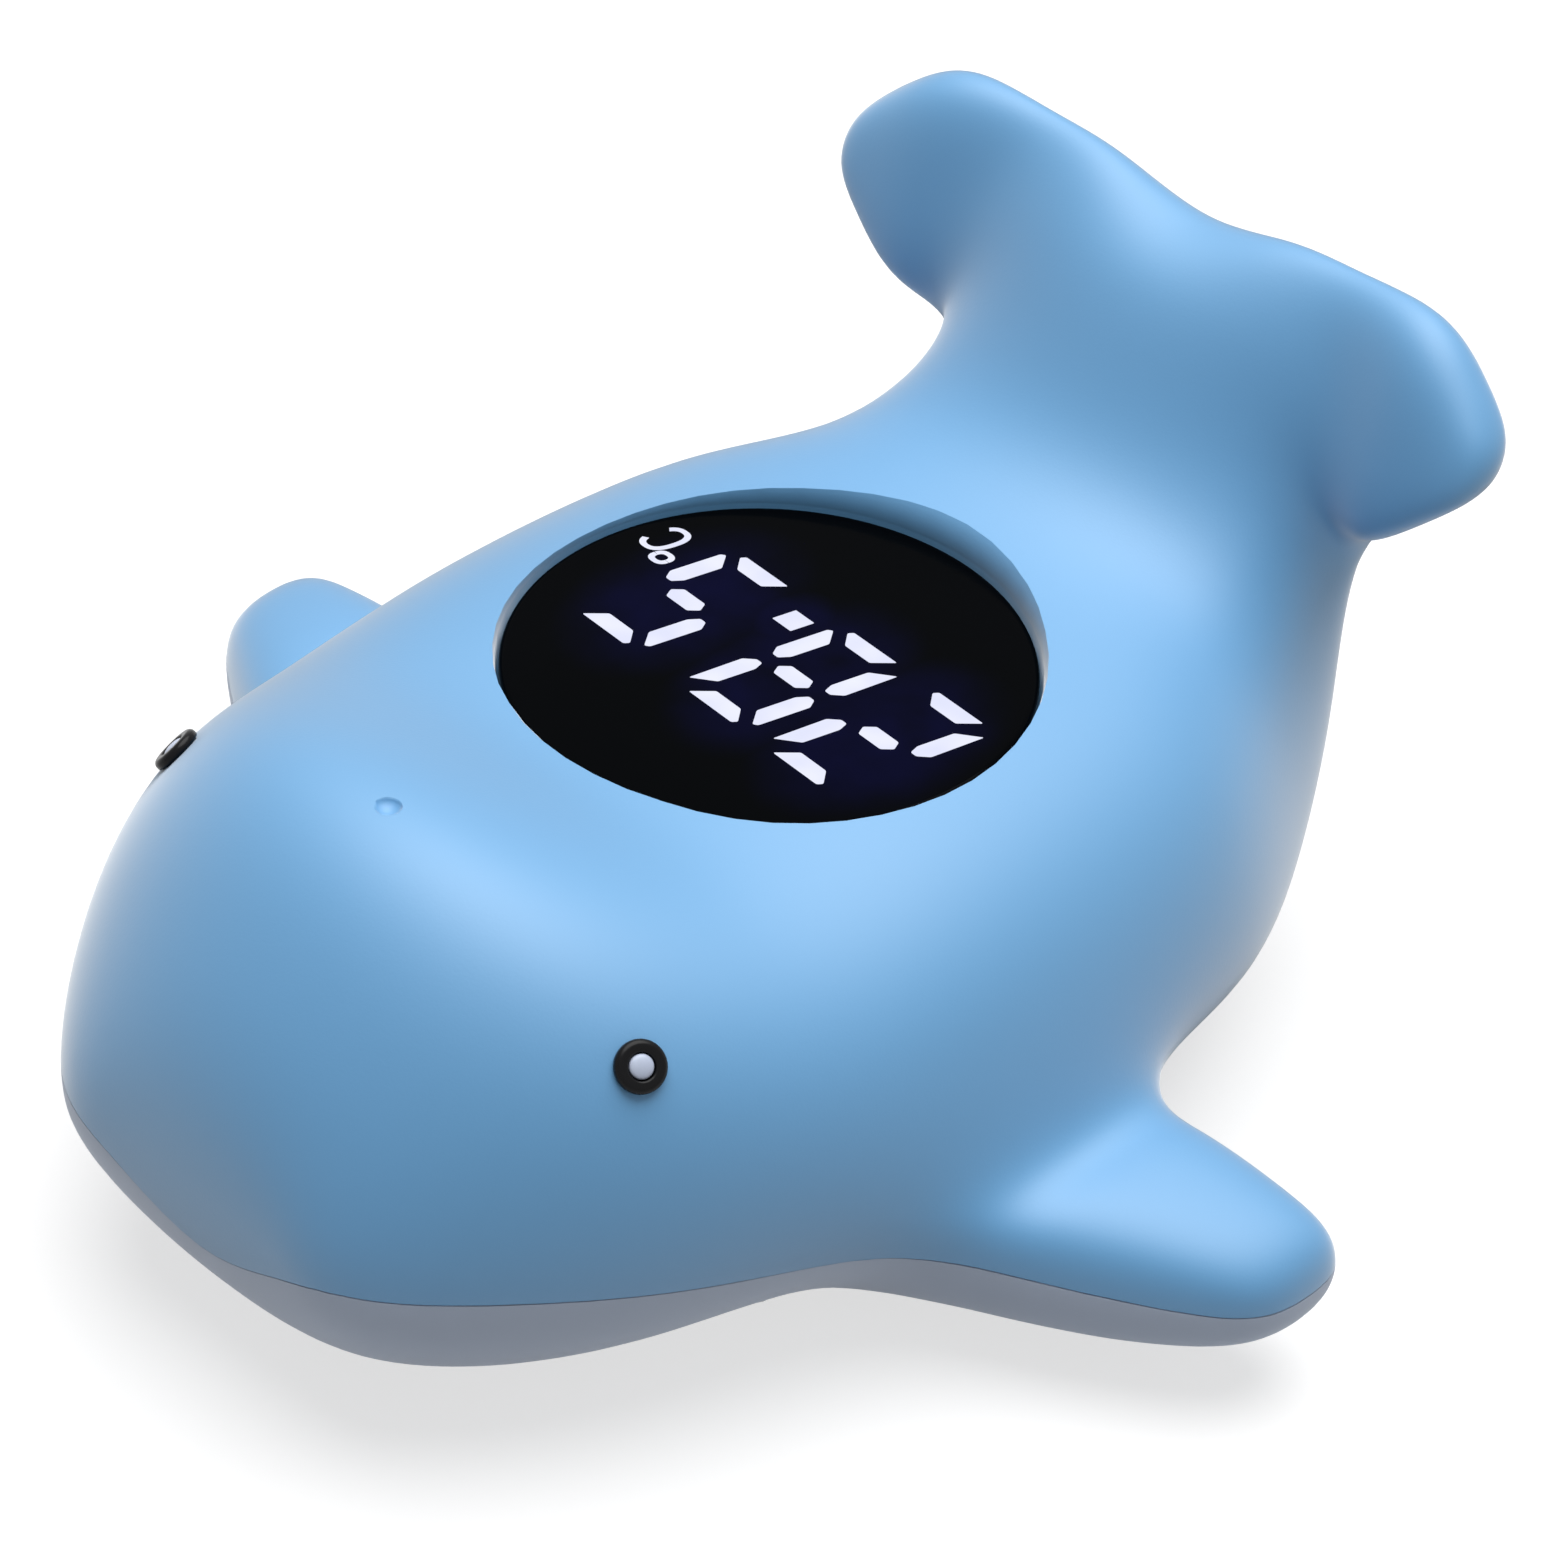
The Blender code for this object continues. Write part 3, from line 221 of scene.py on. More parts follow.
def mouldedPlastic(name, look):
    # moulded ABS with a fine spark-eroded grain: an even colour that drifts a little, and a soft broken gloss
    finish, tree, shader = newMaterial(name)
    place = addNode(tree, "ShaderNodeTexCoord").outputs["Object"]
    drift = addNode(tree, "ShaderNodeTexNoise", {"Scale": 1 / (look["driftSize"] * mm), "Detail": 2.0},
                    {"Vector": place})
    tint = addNode(tree, "ShaderNodeMix", {"data_type": "RGBA", 6: linear(look["colour"]),
                                           7: linear(look["deepColour"])},
                   {0: drift.outputs["Fac"]})
    tree.links.new(tint.outputs[2], shader.inputs["Base Color"])
    low, high = look["roughness"] - surface["glossDrift"], look["roughness"] + surface["glossDrift"]
    gloss = addNode(tree, "ShaderNodeMapRange", {3: low, 4: high}, {0: drift.outputs["Fac"]})
    tree.links.new(gloss.outputs[0], shader.inputs["Roughness"])
    grain = addNode(tree, "ShaderNodeTexNoise", {"Scale": 1 / (look["grainSize"] * mm), "Detail": 1.0},
                    {"Vector": place})
    bump = addNode(tree, "ShaderNodeBump",
                   {"Strength": look["grainStrength"], "Distance": surface["grainDepth"] * mm},
                   {"Height": grain.outputs["Fac"]})
    tree.links.new(bump.outputs[0], shader.inputs["Normal"])
    shader.inputs["IOR"].default_value = look.get("ior", 1.5)
    shader.inputs["Specular IOR Level"].default_value = look.get("specular", 0.5)
    shader.inputs["Sheen Weight"].default_value = look.get("sheen", 0.0)
    shader.inputs["Sheen Roughness"].default_value = look.get("sheenRoughness", 0.4)
    return finish


def polishedBlack(name, look):
    # gloss moulded acrylic, near black, with hairline wear that only shows in its highlights
    finish, tree, shader = newMaterial(name)
    place = addNode(tree, "ShaderNodeTexCoord").outputs["Object"]
    haze = addNode(tree, "ShaderNodeTexNoise", {"Scale": 1 / (look["hazeSize"] * mm), "Detail": 3.0},
                   {"Vector": place})
    low, high = look["roughness"], look["roughness"] + surface["hazeDrift"]
    gloss = addNode(tree, "ShaderNodeMapRange", {3: low, 4: high}, {0: haze.outputs["Fac"]})
    tree.links.new(gloss.outputs[0], shader.inputs["Roughness"])
    tint = addNode(tree, "ShaderNodeMix", {"data_type": "RGBA", 6: linear(look["colour"]),
                                           7: linear(look["deepColour"])}, {0: haze.outputs["Fac"]})
    tree.links.new(tint.outputs[2], shader.inputs["Base Color"])
    shader.inputs["IOR"].default_value = surface["acrylicIor"]
    shader.inputs["Specular IOR Level"].default_value = look["specular"]
    return finish, tree, shader, place


def glowSpot(tree, place, look, x, y, halfX, halfY):
    # 1 inside an oval, 0 well outside it
    shifted = addNode(tree, "ShaderNodeVectorMath", {"operation": "SUBTRACT", 1: (x * mm, y * mm, 0)},
                      {0: place})
    scaled = addNode(tree, "ShaderNodeVectorMath",
                     {"operation": "MULTIPLY", 1: (1 / (halfX * mm), 1 / (halfY * mm), 0)},
                     {0: shifted.outputs[0]})
    far = addNode(tree, "ShaderNodeVectorMath", {"operation": "LENGTH"}, {0: scaled.outputs[0]})
    full, gone = look["glowFade"]
    fade = {"interpolation_type": "SMOOTHSTEP", 1: full, 2: gone, 3: 1.0, 4: 0.0}
    return addNode(tree, "ShaderNodeMapRange", fade, {0: far.outputs["Value"]}).outputs[0]


def smokedAcrylic(name, look):
    # smoked acrylic over a lit display: its navy glow fades around each digit
    finish, tree, shader, place = polishedBlack(name, look)
    total = glowSpot(tree, place, look, *look["glowSpots"][0])
    for oval in look["glowSpots"][1:]:
        spot = glowSpot(tree, place, look, *oval)
        total = addNode(tree, "ShaderNodeMath", {"operation": "MAXIMUM"}, {0: total, 1: spot}).outputs[0]
    cloud = addNode(tree, "ShaderNodeTexNoise", {"Scale": 1 / (look["cloudSize"] * mm), "Detail": 2.0},
                    {"Vector": place})
    uneven = addNode(tree, "ShaderNodeMapRange", dict(enumerate(look["cloudRange"], 1)),
                     {0: cloud.outputs["Fac"]})
    level = addNode(tree, "ShaderNodeMath", {"operation": "MULTIPLY"}, {0: total, 1: uneven.outputs[0]})
    glow = addNode(tree, "ShaderNodeMix", {"data_type": "RGBA", 6: (0, 0, 0, 1), 7: linear(look["glow"])},
                   {0: level.outputs[0]})
    tree.links.new(glow.outputs[2], shader.inputs["Emission Color"])
    shader.inputs["Emission Strength"].default_value = 1.0
    return finish


def litBarFinish(name, look):
    # diffused LED light behind the smoked face: even lavender white, a touch whiter in some patches
    finish, tree, shader = newMaterial(name)
    place = addNode(tree, "ShaderNodeTexCoord").outputs["Object"]
    cloud = addNode(tree, "ShaderNodeTexNoise", {"Scale": 1 / (look["patchSize"] * mm), "Detail": 0.0},
                    {"Vector": place})
    tint = addNode(tree, "ShaderNodeMix",
                   {"data_type": "RGBA", 6: linear(look["dim"]), 7: linear(look["bright"])},
                   {0: cloud.outputs["Fac"]})
    tree.links.new(tint.outputs[2], shader.inputs["Emission Color"])
    shader.inputs["Emission Strength"].default_value = look["strength"]
    shader.inputs["Base Color"].default_value = linear(surface["diffuserBody"])
    shader.inputs["Roughness"].default_value = surface["diffuserRoughness"]
    return finish


def metalFinish(name, look):
    # drawn or turned metal: fine lines along its making, stretched noise in the roughness and the bump
    finish, tree, shader = newMaterial(name)
    place = addNode(tree, "ShaderNodeTexCoord").outputs["Object"]
    stretch = addNode(tree, "ShaderNodeVectorMath", {"operation": "MULTIPLY", 1: look["stretch"]}, {0: place})
    lines = addNode(tree, "ShaderNodeTexNoise", {"Scale": 1 / (look["lineSize"] * mm), "Detail": 3.0},
                    {"Vector": stretch.outputs[0]})
    low, high = look["roughness"] - surface["metalDrift"], look["roughness"] + surface["metalDrift"]
    gloss = addNode(tree, "ShaderNodeMapRange", {3: low, 4: high}, {0: lines.outputs["Fac"]})
    tree.links.new(gloss.outputs[0], shader.inputs["Roughness"])
    tint = addNode(tree, "ShaderNodeMix", {"data_type": "RGBA", 6: linear(look["colour"]),
                                           7: linear(look["deepColour"])}, {0: lines.outputs["Fac"]})
    tree.links.new(tint.outputs[2], shader.inputs["Base Color"])
    bump = addNode(tree, "ShaderNodeBump",
                   {"Strength": surface["lineStrength"], "Distance": surface["lineDepth"] * mm},
                   {"Height": lines.outputs["Fac"]})
    tree.links.new(bump.outputs[0], shader.inputs["Normal"])
    shader.inputs["Metallic"].default_value = 1.0
    return finish


softBlue = mouldedPlastic("softTouchBlueAbs", {
    "colour": "#4F94C5", "deepColour": "#4B90C2", "driftSize": 40, "roughness": 0.6,
    "grainSize": 0.22, "grainStrength": 0.25, "ior": 1.6, "sheen": 1.0, "sheenRoughness": 0.42,
    "specular": 1.0})
paleGrey = mouldedPlastic("paleGreyAbs", {
    "colour": "#BCC8DC", "deepColour": "#B6C3D8", "driftSize": 40, "roughness": 0.5,
    "grainSize": 0.22, "grainStrength": 0.25, "sheen": 0.1, "specular": 0.4})
siliconeGrey = mouldedPlastic("siliconeRubber", {
    "colour": "#5A5E66", "deepColour": "#51555D", "driftSize": 6, "roughness": 0.72,
    "grainSize": 0.15, "grainStrength": 0.35})
whiteNylon = mouldedPlastic("whiteNylon", {
    "colour": "#E3E5E8", "deepColour": "#DADDE2", "driftSize": 8, "roughness": 0.45,
    "grainSize": 0.2, "grainStrength": 0.2})
eyeCentreWhite = mouldedPlastic("eyeCentreAbs", {
    "colour": "#BFC8DC", "deepColour": "#B4BED4", "driftSize": 1.5, "roughness": 0.35,
    "grainSize": 0.2, "grainStrength": 0.1})
solderGreen = mouldedPlastic("solderMask", {
    "colour": "#1D5A3A", "deepColour": "#174C31", "driftSize": 5, "roughness": 0.35,
    "grainSize": 0.3, "grainStrength": 0.3})
redInsulation = mouldedPlastic("redPvcInsulation", {
    "colour": "#B3261E", "deepColour": "#A3201A", "driftSize": 5, "roughness": 0.45,
    "grainSize": 0.3, "grainStrength": 0.2})
blackInsulation = mouldedPlastic("blackPvcInsulation", {
    "colour": "#1A1B1E", "deepColour": "#141518", "driftSize": 5, "roughness": 0.45,
    "grainSize": 0.3, "grainStrength": 0.2})
gloss = {"colour": "#050507", "deepColour": "#08080B", "hazeSize": 1.2, "roughness": 0.25, "specular": 0.15}
eyeBlack = polishedBlack("glossBlackAbs", gloss)[0]
satinSteel = metalFinish("satinStainless", {
    "colour": "#C9CBCD", "deepColour": "#AEB1B5", "roughness": 0.28, "lineSize": 0.25, "stretch": (1, 1, 6)})
nickel = metalFinish("nickelPlate", {
    "colour": "#CFCBC0", "deepColour": "#BAB5A8", "roughness": 0.3, "lineSize": 0.3, "stretch": (1, 6, 1)})
cellJacket = metalFinish("cellJacketFoil", {
    "colour": "#4C6E58", "deepColour": "#3F5F4B", "roughness": 0.35, "lineSize": 0.5, "stretch": (6, 1, 6)})
print("materials ready")


# Hull, one smooth skin that the two shells and the battery cover take their outside from

hullShape = {
    "sections": (  # top y, top z, bottom y, bottom z, half width, widest z
        (-55.0, 22.5, -53.5, 7.0, 14.0, 14.0),
        (-47.8, 32.6, -45.5, 1.6, 22.4, 14.5),
        (-37.0, 42.4, -34.0, -0.4, 29.6, 15.5),
        (-21.0, 32.8, -20.5, -0.6, 33.0, 16.0),
        (-8.0, 34.4, -8.0, -0.6, 34.0, 16.0),
        (5.0, 34.6, 5.0, -0.6, 33.5, 16.5),
        (17.0, 34.0, 21.0, 0.2, 32.8, 17.0),
        (25.0, 36.2, 35.5, 3.5, 28.0, 20.0),
        (30.0, 39.6, 44.0, 12.5, 23.0, 26.0),
        (33.4, 44.6, 45.6, 26.0, 20.5, 34.0),
        (36.8, 50.0, 46.6, 41.0, 19.5, 46.0),
        (41.0, 54.4, 46.0, 54.4, 16.0, 54.4),
    ),
    "swell": 1.055,
    "bodyAngles": (90, 62, 32, -3, -50, -90),
    "tailAngles": (90, 62, 32, -32, -62, -90),
    "lastBody": 5,
    "firstTail": 7,
    "headPower": 1.9,
    "backPower": 2.55,
    "backFlat": 1.7,
    "bellyPower": 2.35,
    "back": (3, 4, 5, 6),
    "notch": 3.0,
    "fin": {"sections": (3, 4, 5), "row": 3, "loops": (  # x, leading y, trailing y, top z, bottom z
        (39.5, -15.0, 5.0, 16.0, 2.6), (47.0, -10.0, 4.8, 14.8, 3.4), (53.0, -5.5, 4.4, 13.0, 5.6))},
    "fluke": {"sections": (9, 10, 11), "row": 2, "loops": (  # x, low z, high z, front and rear y low and high
        (22.5, 36.6, 55.6, 34.5, 39.5, 41.5, 45.5), (27.0, 41.0, 52.4, 35.5, 39.5, 41.0, 44.0),
        (30.6, 44.6, 48.8, 37.0, 39.0, 41.0, 42.5))},
    "bulge": 0.7,
}
parting = {"z": 9.5, "rise": 6.5, "riseFrom": -4.0, "riseTo": -48.0, "dip": 4.6, "dipHalf": 14.0,
           "dipFrom": -40.0, "gap": 0.3, "shownGap": 0.12}

window = {"radius": 19.0, "thick": 2.0, "top": 33.4, "bevel": 0.45, "sides": 160}
recess = {"edge": 19.3, "round": 3.4}

ringPoints = len(hullShape["bodyAngles"])
ringCount = len(hullShape["sections"])


def hullRing(index):
    topY, topZ, lowY, lowZ, halfWidth, wideZ = hullShape["sections"][index]
    top, low = Vector((0, topY, topZ)), Vector((0, lowY, lowZ))
    share = (wideZ - lowZ) / (topZ - lowZ) if topZ > lowZ else 0.5
    wide = low.lerp(top, share)
    t = min(max((index - hullShape["lastBody"]) / (hullShape["firstTail"] - hullShape["lastBody"]), 0), 1)
    onBack = index in hullShape["back"]
    ring = []
    for body, tail in zip(hullShape["bodyAngles"], hullShape["tailAngles"]):
        angle = body + (tail - body) * t
        power = hullShape["bellyPower"] if angle <= 0 else hullShape["backPower" if onBack else "headPower"]
        c, s = abs(math.cos(math.radians(angle))), abs(math.sin(math.radians(angle)))
        out = c ** (2 / power) * halfWidth * hullShape["swell"] if abs(angle) < 90 else 0
        reach = ((top if angle > 0 else low) - wide) * hullShape["swell"]
        point = wide + reach * s ** (2 / power)
        ring.append(Vector((out, point.y, point.z)))
    if onBack:
        ring[1].z += hullShape["backFlat"]
    return ring


def finLoop(x, lead, trail, topZ, lowZ):
    b = hullShape["bulge"]
    middle = (lead + trail) / 2
    return ((x, lead, topZ - 2 * b), (x + b, middle, topZ), (x, trail, topZ - b),
            (x, trail, lowZ + b), (x + b, middle, lowZ), (x, lead, lowZ + 2 * b))


def flukeLoop(x, low, high, frontLow, frontHigh, rearLow, rearHigh):
    b = hullShape["bulge"]
    middle = (low + high) / 2
    return ((x, frontLow, low), (x + b, (frontLow + frontHigh) / 2 - b, middle), (x, frontHigh, high),
            (x, rearHigh, high), (x + b, (rearLow + rearHigh) / 2 + b, middle), (x, rearLow, low))


def growLimb(half, limb, loop):
    # pulls two faces of the side outwards, three extrusions long
    row, n = limb["row"], ringPoints
    a, b, c = limb["sections"]
    wanted = [{s * n + row, s * n + row + 1, (s + 1) * n + row, (s + 1) * n + row + 1} for s in (a, b)]
    selectFaces(half, lambda face: set(face.vertices) in wanted)
    corners = [s * n + row for s in (a, b, c)] + [s * n + row + 1 for s in (c, b, a)]
    bpy.ops.object.mode_set(mode="OBJECT")
    before = [half.data.vertices[i].co.copy() for i in corners]
    for values in limb["loops"]:
        bpy.ops.object.mode_set(mode="EDIT")
        bpy.ops.mesh.extrude_region()
        bpy.ops.object.mode_set(mode="OBJECT")
        after = [Vector(p) * mm for p in loop(*values)]
        for vert in half.data.vertices:
            if vert.select:
                nearest = min(range(len(before)), key=lambda k: (before[k] - vert.co).length)
                vert.co = after[nearest]
        before = after


def makeSkin(level):
    deselect()
    bpy.ops.mesh.primitive_grid_add(x_subdivisions=ringPoints - 1, y_subdivisions=ringCount - 1, size=0.1)
    half = bpy.context.object
    rings = [hullRing(i) for i in range(ringCount)]
    for k in (0, -1):
        rings[-1][k].z -= hullShape["notch"]
    for vert in half.data.vertices:
        section, k = divmod(vert.index, ringPoints)
        vert.co = rings[section][k] * mm
    growLimb(half, hullShape["fin"], finLoop)
    growLimb(half, hullShape["fluke"], flukeLoop)
    for start in (0, (ringCount - 1) * ringPoints):  # closes the snout and the top of the tail
        for quad in ((0, 1, 4, 5), (1, 2, 3, 4)):
            selectFaces(half, lambda face: False)
            bpy.ops.mesh.select_mode(type="VERT")
            bpy.ops.object.mode_set(mode="OBJECT")
            for k in quad:
                half.data.vertices[start + k].select = True
            bpy.ops.object.mode_set(mode="EDIT")
            bpy.ops.mesh.edge_face_add()
    bpy.ops.object.mode_set(mode="OBJECT")
    mirror = half.modifiers.new("mirror", "MIRROR")
    mirror.merge_threshold = 1e-5
    applyModifiers(half)
    closeUp(half)
    fine = half.modifiers.new("fine", "SUBSURF")
    fine.levels = fine.render_levels = level
    applyModifiers(half)
    return half


def ease(value, low, high):
    t = min(max((value - low) / (high - low), 0), 1)
    return t * t * (3 - 2 * t)


def partingZ(x, y):
    rise = parting["rise"] * ease(y, parting["riseFrom"], parting["riseTo"])
    dip = parting["dip"] * ease(y, parting["dipFrom"], parting["riseTo"])
    return parting["z"] + rise - dip * (1 - ease(abs(x), 0, parting["dipHalf"]))


laying = {  # how near a face lies to the skin, and how alike it faces, to count as outside
    "skinLevel": 4, "cuts": 2, "restFace": 0.02, "before": (0.16, 0.95), "after": (0.05, 0.9),
    "seamReach": 0.06, "sharpAngle": 40, "recessSlack": 0.1}


def outside(face, tree, reach, likeness):
    spot, normal, index, gap = tree.find_nearest(face.center)
    return face.center.z > laying["restFace"] * mm and gap < reach * mm and normal.dot(face.normal) > likeness


def refineShell(nodeName, skin, tree):
    # a copy of the CAD shell whose outside is divided finely and laid on the smooth skin
    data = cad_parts[nodeName].data.copy()
    shell = bpy.data.objects.new(nodeName + "Fine", data)
    bpy.context.scene.collection.objects.link(shell)
    activate(shell)
    bpy.ops.object.mode_set(mode="EDIT")
    bpy.ops.mesh.select_all(action="SELECT")
    bpy.ops.mesh.remove_doubles(threshold=weld)
    bpy.ops.object.mode_set(mode="OBJECT")
    selectFaces(shell, lambda face: outside(face, tree, *laying["before"]))
    bpy.ops.mesh.subdivide(number_cuts=laying["cuts"])
    bpy.ops.object.mode_set(mode="OBJECT")
    group = shell.vertex_groups.new(name="outside")
    chosen = {v for face in shell.data.polygons if face.select for v in face.vertices}
    group.add(sorted(chosen), 1.0, "REPLACE")
    wrap = shell.modifiers.new("wrap", "SHRINKWRAP")
    wrap.target = skin
    wrap.vertex_group = "outside"
    applyModifiers(shell)
    shell.vertex_groups.clear()
    for vert in shell.data.vertices:  # the flat rest face and the snout stay within the CAD box
        vert.co = Vector([min(max(c, low), high) for c, low, high in zip(vert.co, *cadBox)])
    return shell


def closeSeam(shell, side):
    # narrows the parting gap to the hairline that a fitted housing shows
    shift = (parting["gap"] - parting["shownGap"]) / 2
    edge = parting["gap"] / 2
    for vert in shell.data.vertices:
        x, y, z = [c / mm for c in vert.co]
        if abs(z - partingZ(x, y) - side * edge) < laying["seamReach"]:
            vert.co.z -= side * shift * mm


def layNormals(shell, skin, tree):
    # the outside shades as the smooth skin does, and the edge over the window as the true round it is cut to
    activate(shell)
    points = skin.data.vertices
    normals = [corner.vector.copy() for corner in shell.data.corner_normals]
    low, high, slack = recess["edge"], recess["edge"] + recess["round"], laying["recessSlack"]
    for face in shell.data.polygons:
        if outside(face, tree, *laying["after"]):
            for corner, vert in zip(face.loop_indices, face.vertices):
                place, normal, index, gap = tree.find_nearest(shell.data.vertices[vert].co)
                ring = skin.data.polygons[index].vertices
                weights = poly_3d_calc([points[i].co for i in ring], place)
                blend = sum((points[i].normal * w for i, w in zip(ring, weights)), Vector())
                normals[corner] = blend.normalized()
            continue
        radius, z = face.center.xy.length / mm, face.center.z / mm
        if low - slack < radius < high and z > window["top"] + slack and face.normal.z > -slack:
            for corner, vert in zip(face.loop_indices, face.vertices):
                place = shell.data.vertices[vert].co
                share = min(max((place.xy.length / mm - low) / recess["round"], 0), 1)
                inward = -place.xy.normalized() * (1 - share)
                normals[corner] = Vector((inward.x, inward.y, math.sqrt(1 - (1 - share) ** 2)))
    shell.data.normals_split_custom_set(normals)
    return shell


def makeShell(nodeName, name, finish, slotName, side):
    # side is 1 above the parting line, -1 below it and 0 for a piece that lies clear of it
    shell = refineShell(nodeName, skin, skinTree)
    if side:
        closeSeam(shell, side)
    smooth(shell, laying["sharpAngle"])
    print(name, len(shell.data.polygons))
    return dress(layNormals(shell, skin, skinTree), name, finish, slotName, nodeName)


addCamera()
skin = makeSkin(laying["skinLevel"])
skinTree = BVHTree.FromObject(skin, bpy.context.evaluated_depsgraph_get())
print("skin", len(skin.data.polygons), [round(v / mm, 2) for v in skin.dimensions])
makeShell("upper_shell", "upperShell", softBlue, "soft_blue_plastic", 1)
makeShell("lower_shell", "lowerShell", paleGrey, "pale_grey_plastic", -1)
makeShell("battery_cover", "batteryCover", paleGrey, "pale_grey_plastic", 0)


# Window, with the lit digits at its face

digits = {
    "height": 12.15, "width": 5.75, "stroke": 1.5, "slant": 9.2, "rise": -0.1, "turn": -4.5,
    "middles": (-11.35, -2.4, 9.25), "shown": ("abged", "abcdefg", "afgcd"), "middleGap": 0.66,
    "barRound": 0.12, "pointAt": (2.65, -4.5), "pointSize": 1.95, "pointRound": 0.06,
    "degreeAt": (14.3, -2.1), "degreeRadius": 0.63, "degreeStroke": 0.42, "degreeTurn": 178,
    "degreeSteps": 12, "letterSteps": 32,
    "letterAt": (15.9, -3.8), "letterSize": (2.4, 3.7), "letterStroke": 0.44, "letterOpening": 32,
    "letterSquareness": 0.8, "proud": 0.02, "sunk": 0.1, "glow": (6.2, 9.6), "pointGlow": (3.4, 3.4),
}


def textPoint(x, y):
    # the display reads from the tail, so its right is towards -X and its top towards -Y
    turn = math.radians(180 + digits["turn"])
    return Vector((x * math.cos(turn) - y * math.sin(turn), x * math.sin(turn) + y * math.cos(turn)))


def makeWindow():
    deselect()
    bpy.ops.mesh.primitive_cylinder_add(vertices=window["sides"], radius=window["radius"] * mm,
                                        depth=window["thick"] * mm,
                                        location=(0, 0, (window["top"] - window["thick"] / 2) * mm))
    disc = settle(bpy.context.object)
    top = window["top"] * mm
    selectEdges(disc, lambda a, b: min(a.z, b.z) > top - 1e-6 and max(a.xy.length, b.xy.length) > 1e-3)
    bpy.ops.mesh.bevel(offset=window["bevel"] * mm, segments=4, profile=0.6)
    bpy.ops.object.mode_set(mode="OBJECT")
    smooth(disc, 30)
    even = disc.modifiers.new("even", "WEIGHTED_NORMAL")  # keeps the wide face flat beside its round edge
    even.keep_sharp = True
    return applyModifiers(disc)


bars = {  # how far the cut corners of the bars lie in from the digit's ends and sides
    "a": {"left": 0.5, "right": 0.75, "nose": (0.3, 0.4), "lowLeft": 1.45, "lowRight": 1.7},
    "b": {"tip": (0.1, 1.05), "inner": 2.35, "foot": (0.8, 0.35, 0.6, 0.75)},
    "f": {"tip": (0.3, 1.0), "outer": 1.25, "inner": 2.25, "foot": (0.75, 0.55, 0.4, 0.8)},
    "g": {"end": 1.25, "point": 0.5},
    "turned": {"c": "f", "d": "a", "e": "b"},
}


def barOutline(name):
    # one bar in the digit's own upright frame; c, d and e are f, a and b turned half round
    if name in bars["turned"]:
        return [(-x, -y) for x, y in barOutline(bars["turned"][name])]
    w, h, s = digits["width"] / 2, digits["height"] / 2, digits["stroke"] / 2
    top, outer, inner, mid = h + s, w + s, w - s, digits["middleGap"]
    cut = bars[name]
    if name == "g":
        end, waist = w - cut["end"], w - cut["end"] - cut["point"]
        return [(-end, 0), (-waist, -s), (waist, -s), (end, 0), (waist, s), (-waist, s)]
    if name == "a":
        noseX, noseY = cut["nose"]
        return [(w - cut["right"], top), (-w + cut["left"], top), (-w + noseX, top - noseY),
                (-w + cut["lowLeft"], h - s), (w - cut["lowRight"], h - s)]
    (tipX, tipY), (first, second, third, last) = cut["tip"], cut["foot"]
    if name == "b":
        return [(outer - tipX, top - tipY), (inner, top - cut["inner"]), (inner, mid + first),
                (inner + second, mid), (outer - third, mid), (outer, mid + last)]
    return [(-outer + tipX, top - tipY), (-outer, top - cut["outer"]), (-outer, mid + first),
            (-outer + second, mid), (-inner - third, mid), (-inner, mid + last), (-inner, top - cut["inner"])]


def plate(outline, rounding):
    # a thin lit plate at the window's face
    deselect()
    bpy.ops.mesh.primitive_circle_add(vertices=len(outline), fill_type="NGON")
    bar = bpy.context.object
    low = (window["top"] - digits["sunk"]) * mm
    for vert, (x, y) in zip(bar.data.vertices, outline):
        vert.co = textPoint(x, y).to_3d() * mm + Vector((0, 0, low))
    activate(bar)
    bpy.ops.object.mode_set(mode="EDIT")
    bpy.ops.mesh.select_all(action="SELECT")
    if rounding:
        bpy.ops.mesh.bevel(offset=rounding * mm, segments=3, affect="VERTICES")
        bpy.ops.mesh.select_all(action="SELECT")
    thick = (digits["sunk"] + digits["proud"]) * mm
    bpy.ops.mesh.extrude_region_move(TRANSFORM_OT_translate={"value": (0, 0, thick)})
    bpy.ops.mesh.select_all(action="SELECT")
    bpy.ops.mesh.normals_make_consistent(inside=False)
    bpy.ops.object.mode_set(mode="OBJECT")
    return bar


def joinAll(parts):
    activate(parts[0])
    for part in parts[1:]:
        part.select_set(True)
    bpy.ops.object.join()
    return bpy.context.object


def makeDigits():
    lean = math.tan(math.radians(digits["slant"]))
    lit = []
    for middle, shown in zip(digits["middles"], digits["shown"]):
        for name in shown:
            outline = [(x + lean * y + middle, y + digits["rise"]) for x, y in barOutline(name)]
            lit.append(plate(outline, digits["barRound"]))
    (x, y), half = digits["pointAt"], digits["pointSize"] / 2
    square = [(-half, -half), (half, -half), (half, half), (-half, half)]
    lit.append(plate([(px + x + lean * py, py + y) for px, py in square], digits["pointRound"]))
    return joinAll(lit)


